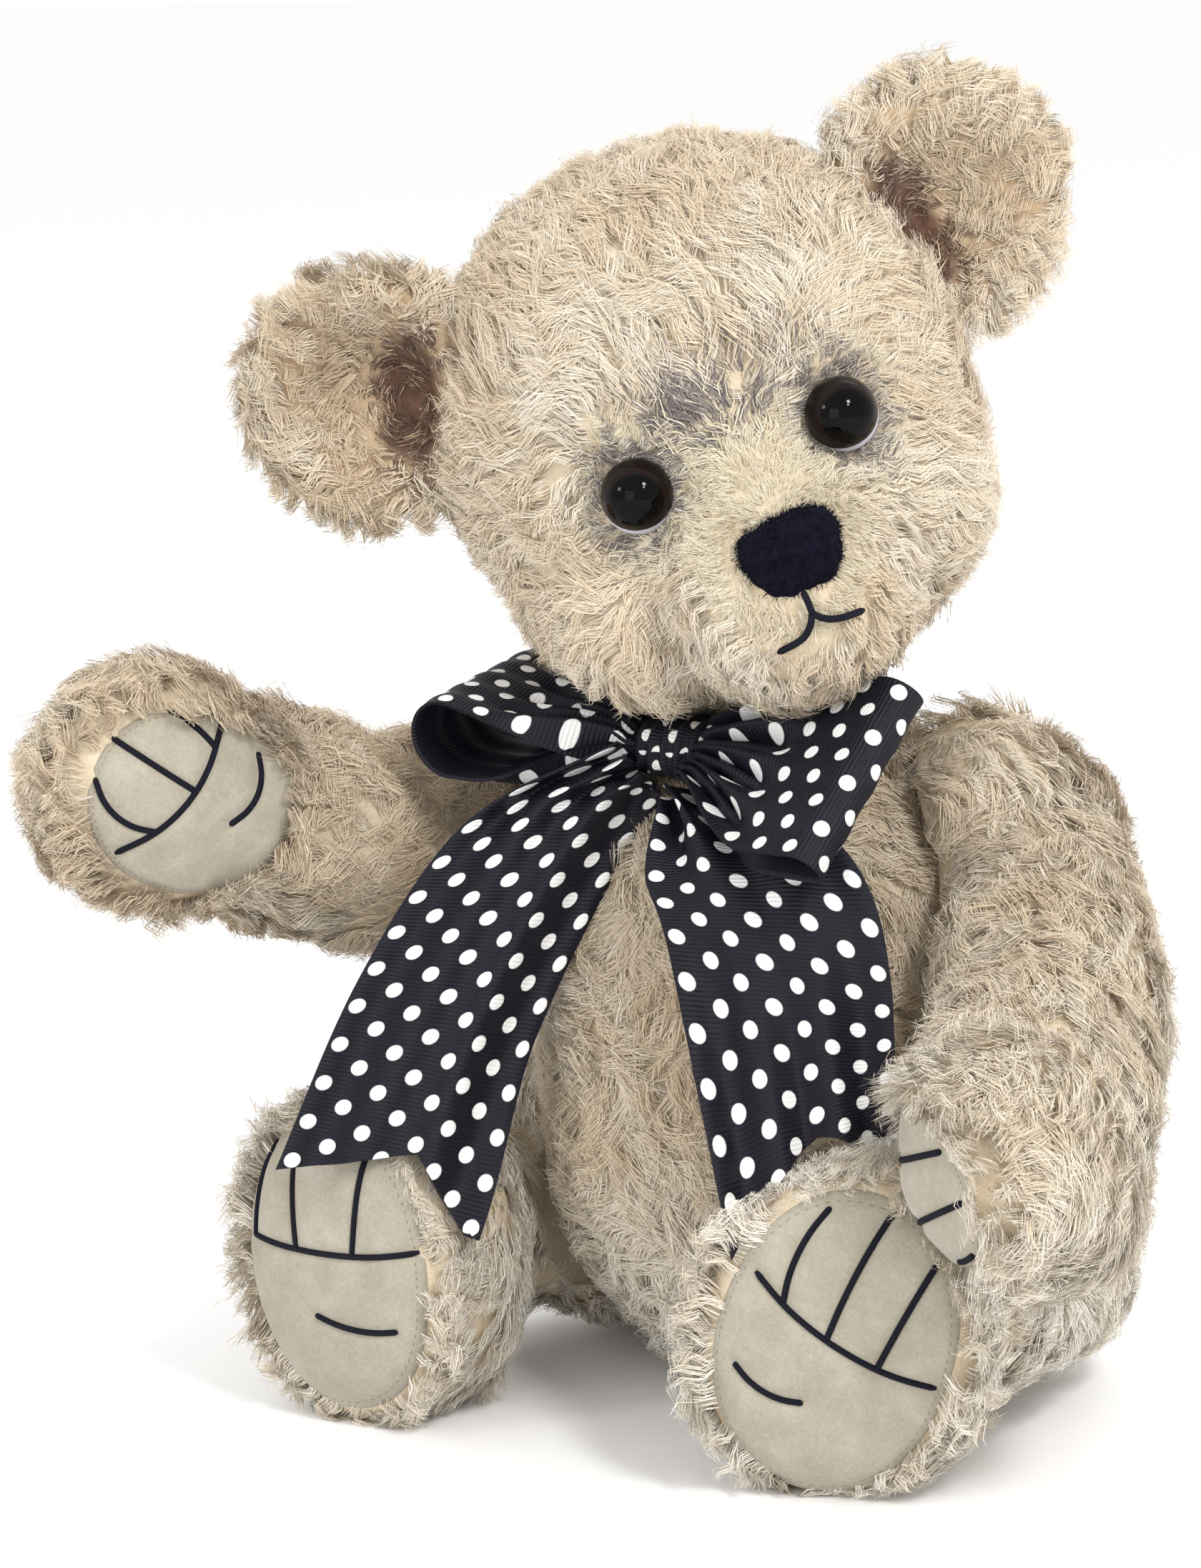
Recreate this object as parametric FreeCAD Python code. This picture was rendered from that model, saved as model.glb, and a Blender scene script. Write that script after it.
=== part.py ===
import FreeCAD, Part
import math
import os
from FreeCAD import Matrix, Placement, Rotation, Vector

# Jointed teddy bear, sitting, millimetres.
# Frame: the torso faces -Y, +Z is up, +X is the bear's left side.
# Origin: centre of the flat seat under the torso, on the surface it sits on.

# ------------------------------------------------------------------ sizes
SKIN = 2.0              # mohair cloth with its backing and seam allowance
GAP = 0.5               # clearance between a limb's flat and the torso's flat
FIT = 0.05              # radial running clearance of every bolt and pin

TORSO_R = 48.0          # torso half width
TORSO_HALF_H = 71.0     # half height of the uncut torso spheroid
TORSO_MID_Z = 63.0
TORSO_TOP_Z = 131.0     # flat under the neck

NECK_Z = 160.0          # height of the head's tilt pin
HEAD_TURN = 38.0        # the head is turned to the bear's left
HEAD_TILT = -20.0       # and tipped to the bear's right
HEAD_NOD = 4.0
PIN_IN_HEAD = 24.0      # tilt pin above the head's own base point

SKULL = ((0, 2, 54), 47.0, 49.5)      # centre, half height, half width
JOWL = ((0, -5, 38), 37.0, 47.0)
MUZZLE = ((0, -44, 30), 26.0, 22.5)   # centre, half length, half width
EYE_R = 7.0
EYE_AT = (21.0, -46.0, 56.0)
EAR_R = 24.0
EAR_AT = {-1: (57.0, 4.0, 83.0), 1: (57.0, 4.0, 73.0)}

SHOULDER = (38.5, 0.0, 102.0)
SHOULDER_YAW = 17.0
SHOULDER_LEAN = 16.0
ARM_LIFT = {-1: 91.0, 1: 58.0}        # forward lift of each arm from hanging
ARM_TOP = ((19, 5, 8), 21.0)
ARM_ELBOW = ((21, 4, -42), 19.5)
ARM_PAW = {-1: ((33, -12, -90), 21.0), 1: ((20, -12, -92), 19.0)}
PAW_PAD_NORMAL = (-0.81, -0.30, -0.49)
PAW_PAD = (22.0, 18.5)                # half length, half width
PAW_FLAT = 0.80                       # pad plane as a share of the paw radius

HIP = (39.0, 2.0, 33.0)
HIP_LEAN = 8.0
LEG_SPLAY = {-1: 4.0, 1: 5.0}
THIGH = ((0, 0, 0), 30.0, 30.5)       # centre, half thickness, radius
SHIN = (((15.5, -4, -4), 18.0), ((15.5, -52, 0), 20.0))
FOOT_AT = {-1: (12.0, -66.0, 0.0), 1: (10.5, -66.0, 0.0)}
FOOT_HALF = (24.0, 30.5)              # half width, half height
FOOT_LEN = 34.0
FOOT_TURN = {-1: 1.0, 1: 12.0}
FOOT_ROLL = {-1: 5.0, 1: 15.0}        # towards the bear's left
SOLE = (22.5, 28.5)                   # half width, half height of the sole pad
PAD_T = 1.2
THREAD_R = 0.6

RIBBON_T = 0.8          # grosgrain, doubled at the folds
COLLAR_R = 25.0
COLLAR_H = 6.5
COLLAR_Z = 126.5
KNOT_AT = (-8.0, -40.5, 124.0)        # its lowest corner
KNOT = (17.0, 15.45, 9.5)             # width, depth, height

os.makedirs("parts", exist_ok=True)


# ---------------------------------------------------------------- helpers
def save(name, shape):
    if len(shape.Solids) == 1:
        shape = shape.Solids[0]
    shape.exportStep("parts/%s.step" % name)
    print("%-22s solids %d volume %10.1f valid %s"
          % (name, len(shape.Solids), shape.Volume, shape.isValid()))


def arc_profile(half_h, half_w):
    """Half ellipse from the lower to the upper pole, as a curve in XZ."""
    curve = Part.Arc(Vector(0, 0, -1), Vector(1, 0, 0),
                     Vector(0, 0, 1)).toBSpline()
    for i in range(1, curve.NbPoles + 1):
        p = curve.getPole(i)
        curve.setPole(i, Vector(p.x * half_w, 0, p.z * half_h))
    return curve.toShape()


def revolve(edges):
    face = Part.Face(Part.Wire(edges))
    solid = face.revolve(Vector(0, 0, 0), Vector(0, 0, 1), 360)
    return solid if solid.Volume > 0 else solid.reversed()


def turned(shape, start, end):
    """Put a shape made along +Z from the origin so it runs start to end."""
    axis = end.sub(start)
    out = shape.copy()
    out.Placement = Placement(start, Rotation(Vector(0, 0, 1), axis))
    return out


def spheroid(centre, half_h, half_w, axis=(0, 0, 1)):
    solid = revolve([arc_profile(half_h, half_w),
                     Part.makeLine(Vector(0, 0, half_h),
                                   Vector(0, 0, -half_h))])
    c = Vector(*centre)
    return turned(solid, c, c.add(Vector(*axis)))


def capsule(a, ra, b, rb):
    """Two balls joined by their common tangent cone."""
    a, b = Vector(*a), Vector(*b)
    length = b.sub(a).Length
    s = (ra - rb) / length
    c = math.sqrt(1 - s * s)
    ta = Vector(ra * c, 0, ra * s)
    tb = Vector(rb * c, 0, length + rb * s)
    low, top = Vector(0, 0, -ra), Vector(0, 0, length + rb)
    ha = (math.asin(s) - math.pi / 2) / 2
    hb = (math.asin(s) + math.pi / 2) / 2
    ma = Vector(ra * math.cos(ha), 0, ra * math.sin(ha))
    mb = Vector(rb * math.cos(hb), 0, length + rb * math.sin(hb))
    solid = revolve([Part.Arc(low, ma, ta).toShape(), Part.makeLine(ta, tb),
                     Part.Arc(tb, mb, top).toShape(),
                     Part.makeLine(top, low)])
    return turned(solid, a, b)


def rod(a, b, r):
    a, b = Vector(*a), Vector(*b)
    return Part.makeCylinder(r, b.sub(a).Length, a, b.sub(a))


def hexagon(a, b, across):
    """Hexagonal prism from a to b, across the flats."""
    a, b = Vector(*a), Vector(*b)
    r = across / math.sqrt(3)
    pts = [Vector(r * math.cos(math.radians(60 * i)),
                  r * math.sin(math.radians(60 * i)), 0) for i in range(7)]
    face = Part.Face(Part.makePolygon(pts))
    return turned(face.extrude(Vector(0, 0, b.sub(a).Length)), a, b)


def put(shape, place):
    out = shape.copy()
    out.Placement = place.multiply(out.Placement)
    return out


def rotation(*steps):
    out = Rotation()
    axes = {"x": Vector(1, 0, 0), "y": Vector(0, 1, 0), "z": Vector(0, 0, 1)}
    for axis, angle in steps:
        out = out.multiply(Rotation(axes[axis], angle))
    return out


def beyond(place, start, reach=200.0):
    """Everything on the +X side of a plane at X = start in a local frame."""
    box = Part.makeBox(reach, 2 * reach, 2 * reach,
                       Vector(start, -reach, -reach))
    return put(box, place)


def side(point, s):
    return (point[0] * s, point[1], point[2])


def thread(points, r=THREAD_R):
    """Straight embroidery stitches end to end with a hair between them."""
    out = []
    for a, b in zip(points[:-1], points[1:]):
        va, vb = Vector(*a), Vector(*b)
        step = vb.sub(va).normalize().multiply(0.75 * r)
        out.append(Part.makeCylinder(r, vb.sub(va).Length - 1.5 * r,
                                     va.add(step), vb.sub(va)))
    return out


def frame_on(normal, up=(0, 0, 1)):
    """Rotation whose local -Y looks along normal and +Z stays near up."""
    back = Vector(*normal).normalize().multiply(-1)
    z = Vector(*up)
    x = back.cross(z).normalize()
    z = x.cross(back)
    m = Matrix(x.x, back.x, z.x, 0, x.y, back.y, z.y, 0,
               x.z, back.z, z.z, 0, 0, 0, 0, 1)
    return Placement(m).Rotation


def oval_plate(half_w, half_h, thick):
    """Oval plate in XZ, front face at Y = -thick, back face at Y = 0."""
    big, small = max(half_w, half_h), min(half_w, half_h)
    curve = Part.Ellipse(Vector(0, 0, 0), big, small)
    face = Part.Face(Part.Wire([curve.toShape()]))
    if half_h > half_w:
        face.rotate(Vector(0, 0, 0), Vector(0, 0, 1), 90)
    face.rotate(Vector(0, 0, 0), Vector(1, 0, 0), 90)
    return face.extrude(Vector(0, -thick, 0))


# ------------------------------------------------------------ joint frames
shoulders, hips = {}, {}
for s in (-1, 1):
    shoulders[s] = Placement(
        Vector(*side(SHOULDER, s)),
        rotation(("z", s * SHOULDER_YAW), ("y", -s * SHOULDER_LEAN),
                 ("x", -ARM_LIFT[s])))
    hips[s] = Placement(
        Vector(*side(HIP, s)),
        rotation(("z", s * LEG_SPLAY[s]), ("y", s * HIP_LEAN)))

head_rot = rotation(("z", HEAD_TURN), ("y", HEAD_TILT), ("x", HEAD_NOD))
head_place = Placement(
    Vector(0, 0, NECK_Z).sub(head_rot.multVec(Vector(0, 0, PIN_IN_HEAD))),
    head_rot)
# the tilt pin lies level, along the turned head's front-to-back line
pin_place = Placement(Vector(0, 0, NECK_Z), rotation(("z", HEAD_TURN)))


def outward(place, s, x0, x1, r, bore=0.0):
    """Washer-like disc on a limb joint's axis, x measured outward."""
    solid = rod((s * x0, 0, 0), (s * x1, 0, 0), r)
    if bore:
        solid = solid.cut(rod((s * (x0 - 1), 0, 0), (s * (x1 + 1), 0, 0),
                              bore))
    return put(solid, place)


# ------------------------------------------------------------------- torso
def torso_body(inset):
    body = spheroid((0, 0, TORSO_MID_Z), TORSO_HALF_H - inset,
                    TORSO_R - inset)
    body = body.common(Part.makeCylinder(
        100, TORSO_TOP_Z - 2 * inset, Vector(0, 0, inset)))
    for s in (-1, 1):
        for place in (shoulders[s], hips[s]):
            box = Part.makeBox(200, 400, 400, Vector(-inset, -200, -200))
            if s < 0:
                box = Part.makeBox(200, 400, 400,
                                   Vector(-200 + inset, -200, -200))
            body = body.cut(put(box, place))
    return body


BOLT_R = 2.5
DISC_T = 3.0
# joint stacks, x measured outward from the torso's flat:
# (torso disc inner x, torso disc radius, limb disc radius)
STACK = {"arm": (-9.0, 11.0, 11.0), "leg": (-SKIN - DISC_T, 13.0, 18.0)}
LIMB_DISC_X = {"arm": 9.5, "leg": GAP + SKIN}

torso_outer = torso_body(0.0)
torso_inner = torso_body(SKIN)
torso_skin = torso_outer.cut(torso_inner)
torso_filling = torso_inner

spindle_z = TORSO_TOP_Z - SKIN - DISC_T      # underside of the neck disc
for s in (-1, 1):
    for kind, place in (("arm", shoulders[s]), ("leg", hips[s])):
        x0, r_disc, _ = STACK[kind]
        torso_skin = torso_skin.cut(
            outward(place, s, -14, 6, BOLT_R + 0.5))
        pocket = outward(place, s, x0 - 6, x0, 6.0)
        torso_filling = torso_filling.cut(pocket)
        torso_filling = torso_filling.cut(
            outward(place, s, x0 - 1, 6, BOLT_R + 0.6))
        disc = outward(place, s, x0, x0 + DISC_T, r_disc, BOLT_R + FIT)
        torso_filling = torso_filling.cut(
            outward(place, s, x0, x0 + DISC_T, r_disc))
        side_name = "left" if s > 0 else "right"
        save("%s_%s_torso_disc" % (kind, side_name), disc)

neck_disc = rod((0, 0, spindle_z), (0, 0, spindle_z + DISC_T), 12.5)
torso_filling = torso_filling.cut(neck_disc)
torso_filling = torso_filling.cut(rod((0, 0, spindle_z - 5.5),
                                      (0, 0, spindle_z), 7.0))
torso_skin = torso_skin.cut(rod((0, 0, 120), (0, 0, 140), 3.5))
neck_disc = neck_disc.cut(rod((0, 0, 120), (0, 0, 140), 3.0 + FIT))
save("torso_skin", torso_skin)
save("torso_filling", torso_filling)
save("neck_torso_disc", neck_disc)

# ------------------------------------------------------------ neck spindle
spindle = rod((0, 0, spindle_z - 4), (0, 0, NECK_Z), 3.0)
spindle = spindle.fuse(rod((0, 0, spindle_z - 4), (0, 0, spindle_z - FIT),
                           6.0))
spindle = spindle.fuse(rod((0, 0, TORSO_TOP_Z + FIT),
                           (0, 0, TORSO_TOP_Z + 1.2), 6.0))
knuckle = put(rod((0, -2.8, 0), (0, 2.8, 0), 4.6), pin_place)
spindle = spindle.fuse(knuckle)
spindle = spindle.cut(put(rod((0, -20, 0), (0, 20, 0), 1.5 + FIT),
                          pin_place))
save("neck_spindle", spindle.removeSplitter())


# -------------------------------------------------------------------- head
def head_body(inset):
    skull = spheroid(SKULL[0], SKULL[1] - inset, SKULL[2] - inset)
    jowl = spheroid(JOWL[0], JOWL[1] - inset, JOWL[2] - inset)
    muzzle = spheroid(MUZZLE[0], MUZZLE[1] - inset, MUZZLE[2] - inset,
                      (0, -1, 0))
    return skull.fuse(jowl).fuse(muzzle)


def tilt_frame(shape):
    """Local head frame to world through the turn, tilt and nod."""
    return put(shape, head_place)


pin_local = head_place.inverse().multiply(pin_place)
head_outer = head_body(0.0)
head_inner = head_body(SKIN)
# funnel under the head's base that lets the spindle swing
funnel = Part.makeCone(15.5, 4.2, PIN_IN_HEAD + 3, Vector(0, 0, -3),
                       Vector(0, 0, 1))
head_skin = head_outer.cut(head_inner).cut(funnel)
head_filling = head_inner.cut(funnel)
room = rod((0, 0, PIN_IN_HEAD - 5), (0, 0, PIN_IN_HEAD + 8), 9.0)
plate_z = PIN_IN_HEAD + 8
head_filling = head_filling.cut(room)
head_filling = head_filling.cut(rod((0, 0, plate_z),
                                    (0, 0, plate_z + DISC_T), 16.0))

bracket = rod((0, 0, plate_z), (0, 0, plate_z + DISC_T), 16.0)
for y0 in (3.4, -6.4):
    lug = Part.makeBox(8, 3, 13, Vector(-4, y0, -4))
    bracket = bracket.fuse(put(lug, pin_local))
cross_pin = put(rod((0, -6.8, 0), (0, 6.8, 0), 1.5), pin_local)
bracket = bracket.cut(put(rod((0, -12, 0), (0, 12, 0), 1.5), pin_local))
save("neck_head_disc", tilt_frame(bracket.removeSplitter()))
save("neck_cross_pin", tilt_frame(cross_pin))

eyes, shanks = {}, {}
for s in (-1, 1):
    c = Vector(*side(EYE_AT, s))
    eye = Part.makeSphere(EYE_R, c)
    back = Vector(-s * 0.35, 0.93, -0.05).normalize()
    tail = c.add(Vector(back).multiply(EYE_R + 9))
    start = c.add(Vector(back).multiply(EYE_R - 0.6))
    shank = rod(tuple(start), tuple(tail), 1.0)
    eye = eye.cut(shank)
    head_skin = head_skin.cut(Part.makeSphere(EYE_R, c)).cut(shank)
    head_filling = head_filling.cut(Part.makeSphere(EYE_R, c)).cut(shank)
    name = "left" if s > 0 else "right"
    save("eye_%s" % name, tilt_frame(eye))
    save("eye_shank_%s" % name, tilt_frame(shank))

nose = spheroid((0, -64.5, 38.5), 10.5, 8.0, (1, 0, 0)).cut(head_outer)
save("nose", tilt_frame(nose))

# philtrum and the two halves of the smile, lying on the muzzle
def muzzle_point(x, z, lift):
    k = 1 - (x * x + (z - 30) ** 2) / 22.5 ** 2
    return (x, -44 - 26.0 * math.sqrt(max(k, 0.05)) - lift, z)


mouth = []
for line in (((0, 29.5), (0, 24.5), (0, 20.0)),
             ((-1.6, 19.0), (-4.5, 16.0), (-9.0, 14.6)),
             ((1.6, 19.0), (4.5, 16.0), (9.0, 14.6))):
    mouth += thread([muzzle_point(x, z, 1.6) for x, z in line])
save("mouth_stitching", tilt_frame(Part.Compound(mouth)))

for s in (-1, 1):
    c = EAR_AT[s]
    normal = Vector(s * 0.28, -0.96, 0.05)
    ear = spheroid((0, 0, 0), 10.5, EAR_R, tuple(normal))
    bowl = spheroid(tuple(Vector(normal).multiply(8.0)), 9.5, EAR_R - 6,
                    tuple(normal))
    ear = ear.cut(bowl)
    ear.translate(Vector(*side(c, s)))
    ear = ear.cut(head_outer)
    solids = sorted(ear.Solids, key=lambda k: -k.Volume)
    name = "left" if s > 0 else "right"
    save("ear_%s" % name, tilt_frame(solids[0]))

save("head_skin", tilt_frame(head_skin))
save("head_filling", tilt_frame(head_filling))


# ------------------------------------------------------------------- limbs
def save_joint(kind, s, place):
    """Limb disc, bolt and locknut that ride with the limb."""
    x0, _, r_limb = STACK[kind]
    name = "%s_%s" % (kind, "left" if s > 0 else "right")
    d0 = LIMB_DISC_X[kind]
    save(name + "_disc",
         outward(place, s, d0, d0 + DISC_T, r_limb, BOLT_R))
    bolt = rod((s * (x0 - 5.0), 0, 0), (s * (d0 + DISC_T), 0, 0), BOLT_R)
    bolt = bolt.fuse(hexagon((s * (d0 + DISC_T), 0, 0),
                             (s * (d0 + DISC_T + 3.5), 0, 0), 8.0))
    save(name + "_bolt", put(bolt, place))
    nut = hexagon((s * (x0 - 4.5), 0, 0), (s * (x0 - FIT), 0, 0), 8.0)
    nut = nut.cut(rod((s * (x0 - 6), 0, 0), (s * (x0 + 1), 0, 0), BOLT_R))
    save(name + "_locknut", put(nut, place))


def limb_filling(inner, kind, s):
    """Room in a limb's filling for its disc and bolt head."""
    _, _, r_limb = STACK[kind]
    d0 = LIMB_DISC_X[kind]
    flat = Placement()
    inner = inner.cut(outward(flat, s, 0, d0 + DISC_T, BOLT_R))
    inner = inner.cut(outward(flat, s, d0, d0 + DISC_T, r_limb))
    return inner.cut(outward(flat, s, d0 + DISC_T, d0 + DISC_T + 3.5, 5.0))


def half_space(s, x):
    box = Part.makeBox(200, 400, 400, Vector(x, -200, -200))
    if s < 0:
        box = Part.makeBox(200, 400, 400, Vector(-200 - x, -200, -200))
    return box


def arm_body(s, inset):
    top, r_top = ARM_TOP
    elbow, r_elbow = ARM_ELBOW
    paw, r_paw = ARM_PAW[s]
    upper = capsule(side(top, s), r_top - inset,
                    side(elbow, s), r_elbow - inset)
    upper = upper.common(half_space(s, GAP + inset))
    fore = capsule(side(elbow, s), r_elbow - 1.2 - inset,
                   side(paw, s), r_paw - inset)
    body = upper.fuse(fore)
    n = Vector(PAW_PAD_NORMAL[0] * s, PAW_PAD_NORMAL[1],
               PAW_PAD_NORMAL[2]).normalize()
    face = Vector(*side(paw, s)).add(
        Vector(n).multiply(r_paw * PAW_FLAT - inset))
    slab = Part.makeBox(200, 200, 60, Vector(-100, -100, 0))
    return body.cut(turned(slab, face, face.add(n)))


def arm_pad(s):
    """Suede paw pad and its embroidery, on the flat of the paw."""
    paw, r_paw = ARM_PAW[s]
    n = Vector(PAW_PAD_NORMAL[0] * s, PAW_PAD_NORMAL[1],
               PAW_PAD_NORMAL[2]).normalize()
    along = Vector(*side(paw, s)).sub(Vector(*side(ARM_ELBOW[0], s)))
    rot = frame_on(tuple(n), tuple(along))
    r_pad = math.sqrt(1 - PAW_FLAT ** 2) * r_paw
    place = Placement(Vector(*side(paw, s)).add(
        Vector(n).multiply(r_paw * PAW_FLAT)), rot)
    k = r_pad / PAW_PAD[0] * 1.35
    pad = put(oval_plate(PAW_PAD[1] * k, PAW_PAD[0] * k, PAD_T), place)
    y = -PAD_T - THREAD_R
    lines = [((-6 * k, y, 15 * k), (-5 * k, y, 4.5 * k)),
             ((1 * k, y, 18 * k), (1 * k, y, 3.4 * k)),
             ((8 * k, y, 15.5 * k), (7 * k, y, 4.5 * k)),
             ((-15 * k, y, 5 * k), (-6 * k, y, 2.2 * k), (1 * k, y, 1.4 * k),
              (8 * k, y, 2.2 * k), (15 * k, y, 6 * k)),
             ((-7 * k, y, -6 * k), (0, y, -9.5 * k), (7 * k, y, -9 * k))]
    stitches = []
    for line in lines:
        stitches += thread(line)
    return pad, put(Part.Compound(stitches), place)


def leg_body(s, inset):
    thigh = spheroid((0, 0, 0), THIGH[1] - inset, THIGH[2] - inset,
                     (1, 0, 0))
    (a, ra), (b, rb) = SHIN
    shin = capsule(side(a, s), ra - inset, side(b, s), rb - inset)
    trunk = thigh.fuse(shin).common(half_space(s, GAP + inset))
    foot = oval_plate(FOOT_HALF[0] - inset, FOOT_HALF[1] - inset,
                      FOOT_LEN - 2 * inset)
    foot.translate(Vector(0, -inset, 0))
    foot = foot.makeFillet(11.0 - inset, foot.Edges[:])
    return trunk, put(foot, foot_place(s))


def foot_place(s):
    """Frame of the foot: Y = 0 at the heel side, sole at -FOOT_LEN."""
    turn = rotation(("z", s * FOOT_TURN[s]), ("y", FOOT_ROLL[s]))
    centre = Vector(*side(FOOT_AT[s], s))
    start = centre.add(turn.multVec(Vector(0, FOOT_LEN / 2, 0)))
    return Placement(start, turn)


def leg_pad(s):
    """Suede sole and its embroidery."""
    place = foot_place(s).multiply(
        Placement(Vector(0, -FOOT_LEN, 0), Rotation()))
    pad = put(oval_plate(SOLE[0] - 4.0, SOLE[1] - 4.0, PAD_T), place)
    y = -PAD_T - THREAD_R
    lines = [((-7, y, 20), (-6, y, 8)), ((0.5, y, 22), (0.5, y, 6.6)),
             ((8, y, 19.5), (7, y, 8)),
             ((-16, y, 8), (-8, y, 6), (0, y, 5), (8, y, 6), (16, y, 8.5)),
             ((-7, y, -6), (0, y, -8), (7, y, -7.5))]
    stitches = []
    for line in lines:
        stitches += thread(line)
    return pad, put(Part.Compound(stitches), place)


for s in (-1, 1):
    name = "left" if s > 0 else "right"
    # arm
    outer, inner = arm_body(s, 0.0), arm_body(s, SKIN)
    bolt_way = outward(Placement(), s, -2, GAP + SKIN + 1, BOLT_R)
    save("arm_%s_skin" % name,
         put(outer.cut(inner).cut(bolt_way), shoulders[s]))
    save("arm_%s_filling" % name,
         put(limb_filling(inner, "arm", s), shoulders[s]))
    pad, stitches = arm_pad(s)
    save("arm_%s_pad" % name, put(pad, shoulders[s]))
    save("arm_%s_stitching" % name, put(stitches, shoulders[s]))
    save_joint("arm", s, shoulders[s])
    # leg
    (trunk, foot), (trunk_in, foot_in) = leg_body(s, 0.0), leg_body(s, SKIN)
    outer, inner = trunk.fuse(foot), trunk_in.fuse(foot_in)
    save("leg_%s_skin" % name,
         put(outer.cut(inner).cut(bolt_way), hips[s]))
    save("leg_%s_filling" % name,
         put(limb_filling(inner, "leg", s), hips[s]))
    pad, stitches = leg_pad(s)
    save("leg_%s_pad" % name, put(pad, hips[s]))
    save("leg_%s_stitching" % name, put(stitches, hips[s]))
    save_joint("leg", s, hips[s])


# ------------------------------------------------------------------ ribbon
def tail(centres, half_widths):
    """Flat hanging end: ruled panels between its two edges, one thickness."""
    push = Vector(0.45, -0.89, 0).normalize().multiply(RIBBON_T)
    left = [Vector(*c).sub(Vector(*w)) for c, w in zip(centres, half_widths)]
    right = [Vector(*c).add(Vector(*w)) for c, w in zip(centres, half_widths)]
    out = None
    for i in range(len(centres) - 1):
        face = Part.makeRuledSurface(Part.makeLine(left[i], left[i + 1]),
                                     Part.makeLine(right[i], right[i + 1]))
        panel = face.extrude(push)
        if panel.Volume < 0:
            panel = panel.reversed()
        out = panel if out is None else out.fuse(panel)
    return out


def bow_loop(root, tip, width_way, width0, width1, height):
    """Teardrop loop of ribbon, narrow where the knot gathers it."""
    root, tip = Vector(*root), Vector(*tip)
    u = tip.sub(root)
    length = u.Length
    u.normalize()
    w = Vector(*width_way)
    w = w.sub(Vector(u).multiply(w.dot(u))).normalize()
    h = u.cross(w)
    m = Matrix(u.x, w.x, h.x, 0, u.y, w.y, h.y, 0, u.z, w.z, h.z, 0,
               0, 0, 0, 1)
    place = Placement(root, Placement(m).Rotation)

    def drop(r, x_end, x_start):
        """Wedge that widens into a round end, in XZ, extruded along Y."""
        cx = x_end - r
        run = cx - x_start
        angle = math.asin(r / run)
        tx, tz = cx - r * math.sin(angle), r * math.cos(angle)
        start = Vector(x_start, 0, 0)
        up, down = Vector(tx, 0, tz), Vector(tx, 0, -tz)
        edges = [Part.makeLine(start, up),
                 Part.Arc(up, Vector(x_end, 0, 0), down).toShape(),
                 Part.makeLine(down, start)]
        face = Part.Face(Part.Wire(edges))
        face.translate(Vector(0, -40, 0))
        return face.extrude(Vector(0, 80, 0))

    shell = drop(height / 2, length, 0.0).cut(
        drop(height / 2 - RIBBON_T, length - RIBBON_T, 3.5 * RIBBON_T))
    a, b = width0 / 2, width1 / 2
    trim = Part.Face(Part.makePolygon([
        Vector(0, -a, 0), Vector(length * 0.6, -b, 0),
        Vector(length + 1, -b, 0), Vector(length + 1, b, 0),
        Vector(length * 0.6, b, 0), Vector(0, a, 0), Vector(0, -a, 0)]))
    trim.translate(Vector(0, 0, -height))
    return put(shell.common(trim.extrude(Vector(0, 0, 2 * height))), place)


collar = Part.makeCylinder(COLLAR_R, COLLAR_H, Vector(0, 0, COLLAR_Z)).cut(
    Part.makeCylinder(COLLAR_R - 2.0, COLLAR_H, Vector(0, 0, COLLAR_Z)))
collar = collar.cut(torso_outer)
save("ribbon_collar", sorted(collar.Solids, key=lambda k: -k.Volume)[0])

knot = Part.makeBox(KNOT[0], KNOT[1], KNOT[2], Vector(*KNOT_AT))
knot = knot.makeFillet(3.5, knot.Edges[:])
save("bow_knot", knot)
ends = {
    "bow_loop_right": bow_loop((-5, -35, 128), (-60, -33, 134),
                               (0.25, 0.95, -0.1), 9, 34, 19),
    "bow_loop_left": bow_loop((6, -36.5, 127), (48, -47, 124),
                              (-0.25, -0.66, -0.7), 9, 34, 9),
    "bow_tail_right": tail(
        [(-5, -41, 126), (-22, -48, 117), (-36.2, -64, 86),
         (-42.4, -83, 46.0)],
        [(3.5, 0.5, -4.5), (15, 8, 0), (15.8, 10, -3), (15.2, 9.7, -5.9)]),
    "bow_tail_left": tail(
        [(5, -41, 123), (22.0, -50, 113), (33, -56, 95), (37, -57.5, 59)],
        [(3.5, 0.5, 3.0), (16, 6, 3), (17.0, 6, -2), (13.5, 5.5, 8.5)]),
}
made = [knot]
for name, solid in ends.items():
    for other in made:
        solid = solid.cut(other)
    solid = sorted(solid.Solids, key=lambda k: -k.Volume)[0]
    made.append(solid)
    save(name, solid)
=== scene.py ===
import math

import bmesh
import bpy
import numpy as np
from mathutils import Matrix, Vector
from mathutils.bvhtree import BVHTree


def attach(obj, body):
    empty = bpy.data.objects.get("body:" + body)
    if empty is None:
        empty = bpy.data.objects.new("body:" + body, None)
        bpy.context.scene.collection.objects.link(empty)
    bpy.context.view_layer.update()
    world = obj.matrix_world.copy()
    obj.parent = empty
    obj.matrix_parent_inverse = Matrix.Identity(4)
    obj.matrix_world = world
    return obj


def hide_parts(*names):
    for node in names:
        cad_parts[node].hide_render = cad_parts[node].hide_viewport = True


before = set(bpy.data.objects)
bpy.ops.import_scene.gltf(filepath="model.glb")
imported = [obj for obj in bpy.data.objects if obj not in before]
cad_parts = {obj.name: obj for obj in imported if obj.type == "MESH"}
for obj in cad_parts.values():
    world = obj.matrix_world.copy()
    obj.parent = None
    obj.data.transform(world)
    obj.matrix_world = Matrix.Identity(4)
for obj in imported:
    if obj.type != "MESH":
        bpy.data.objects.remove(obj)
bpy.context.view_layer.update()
scene = bpy.context.scene
MM = 0.001


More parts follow.
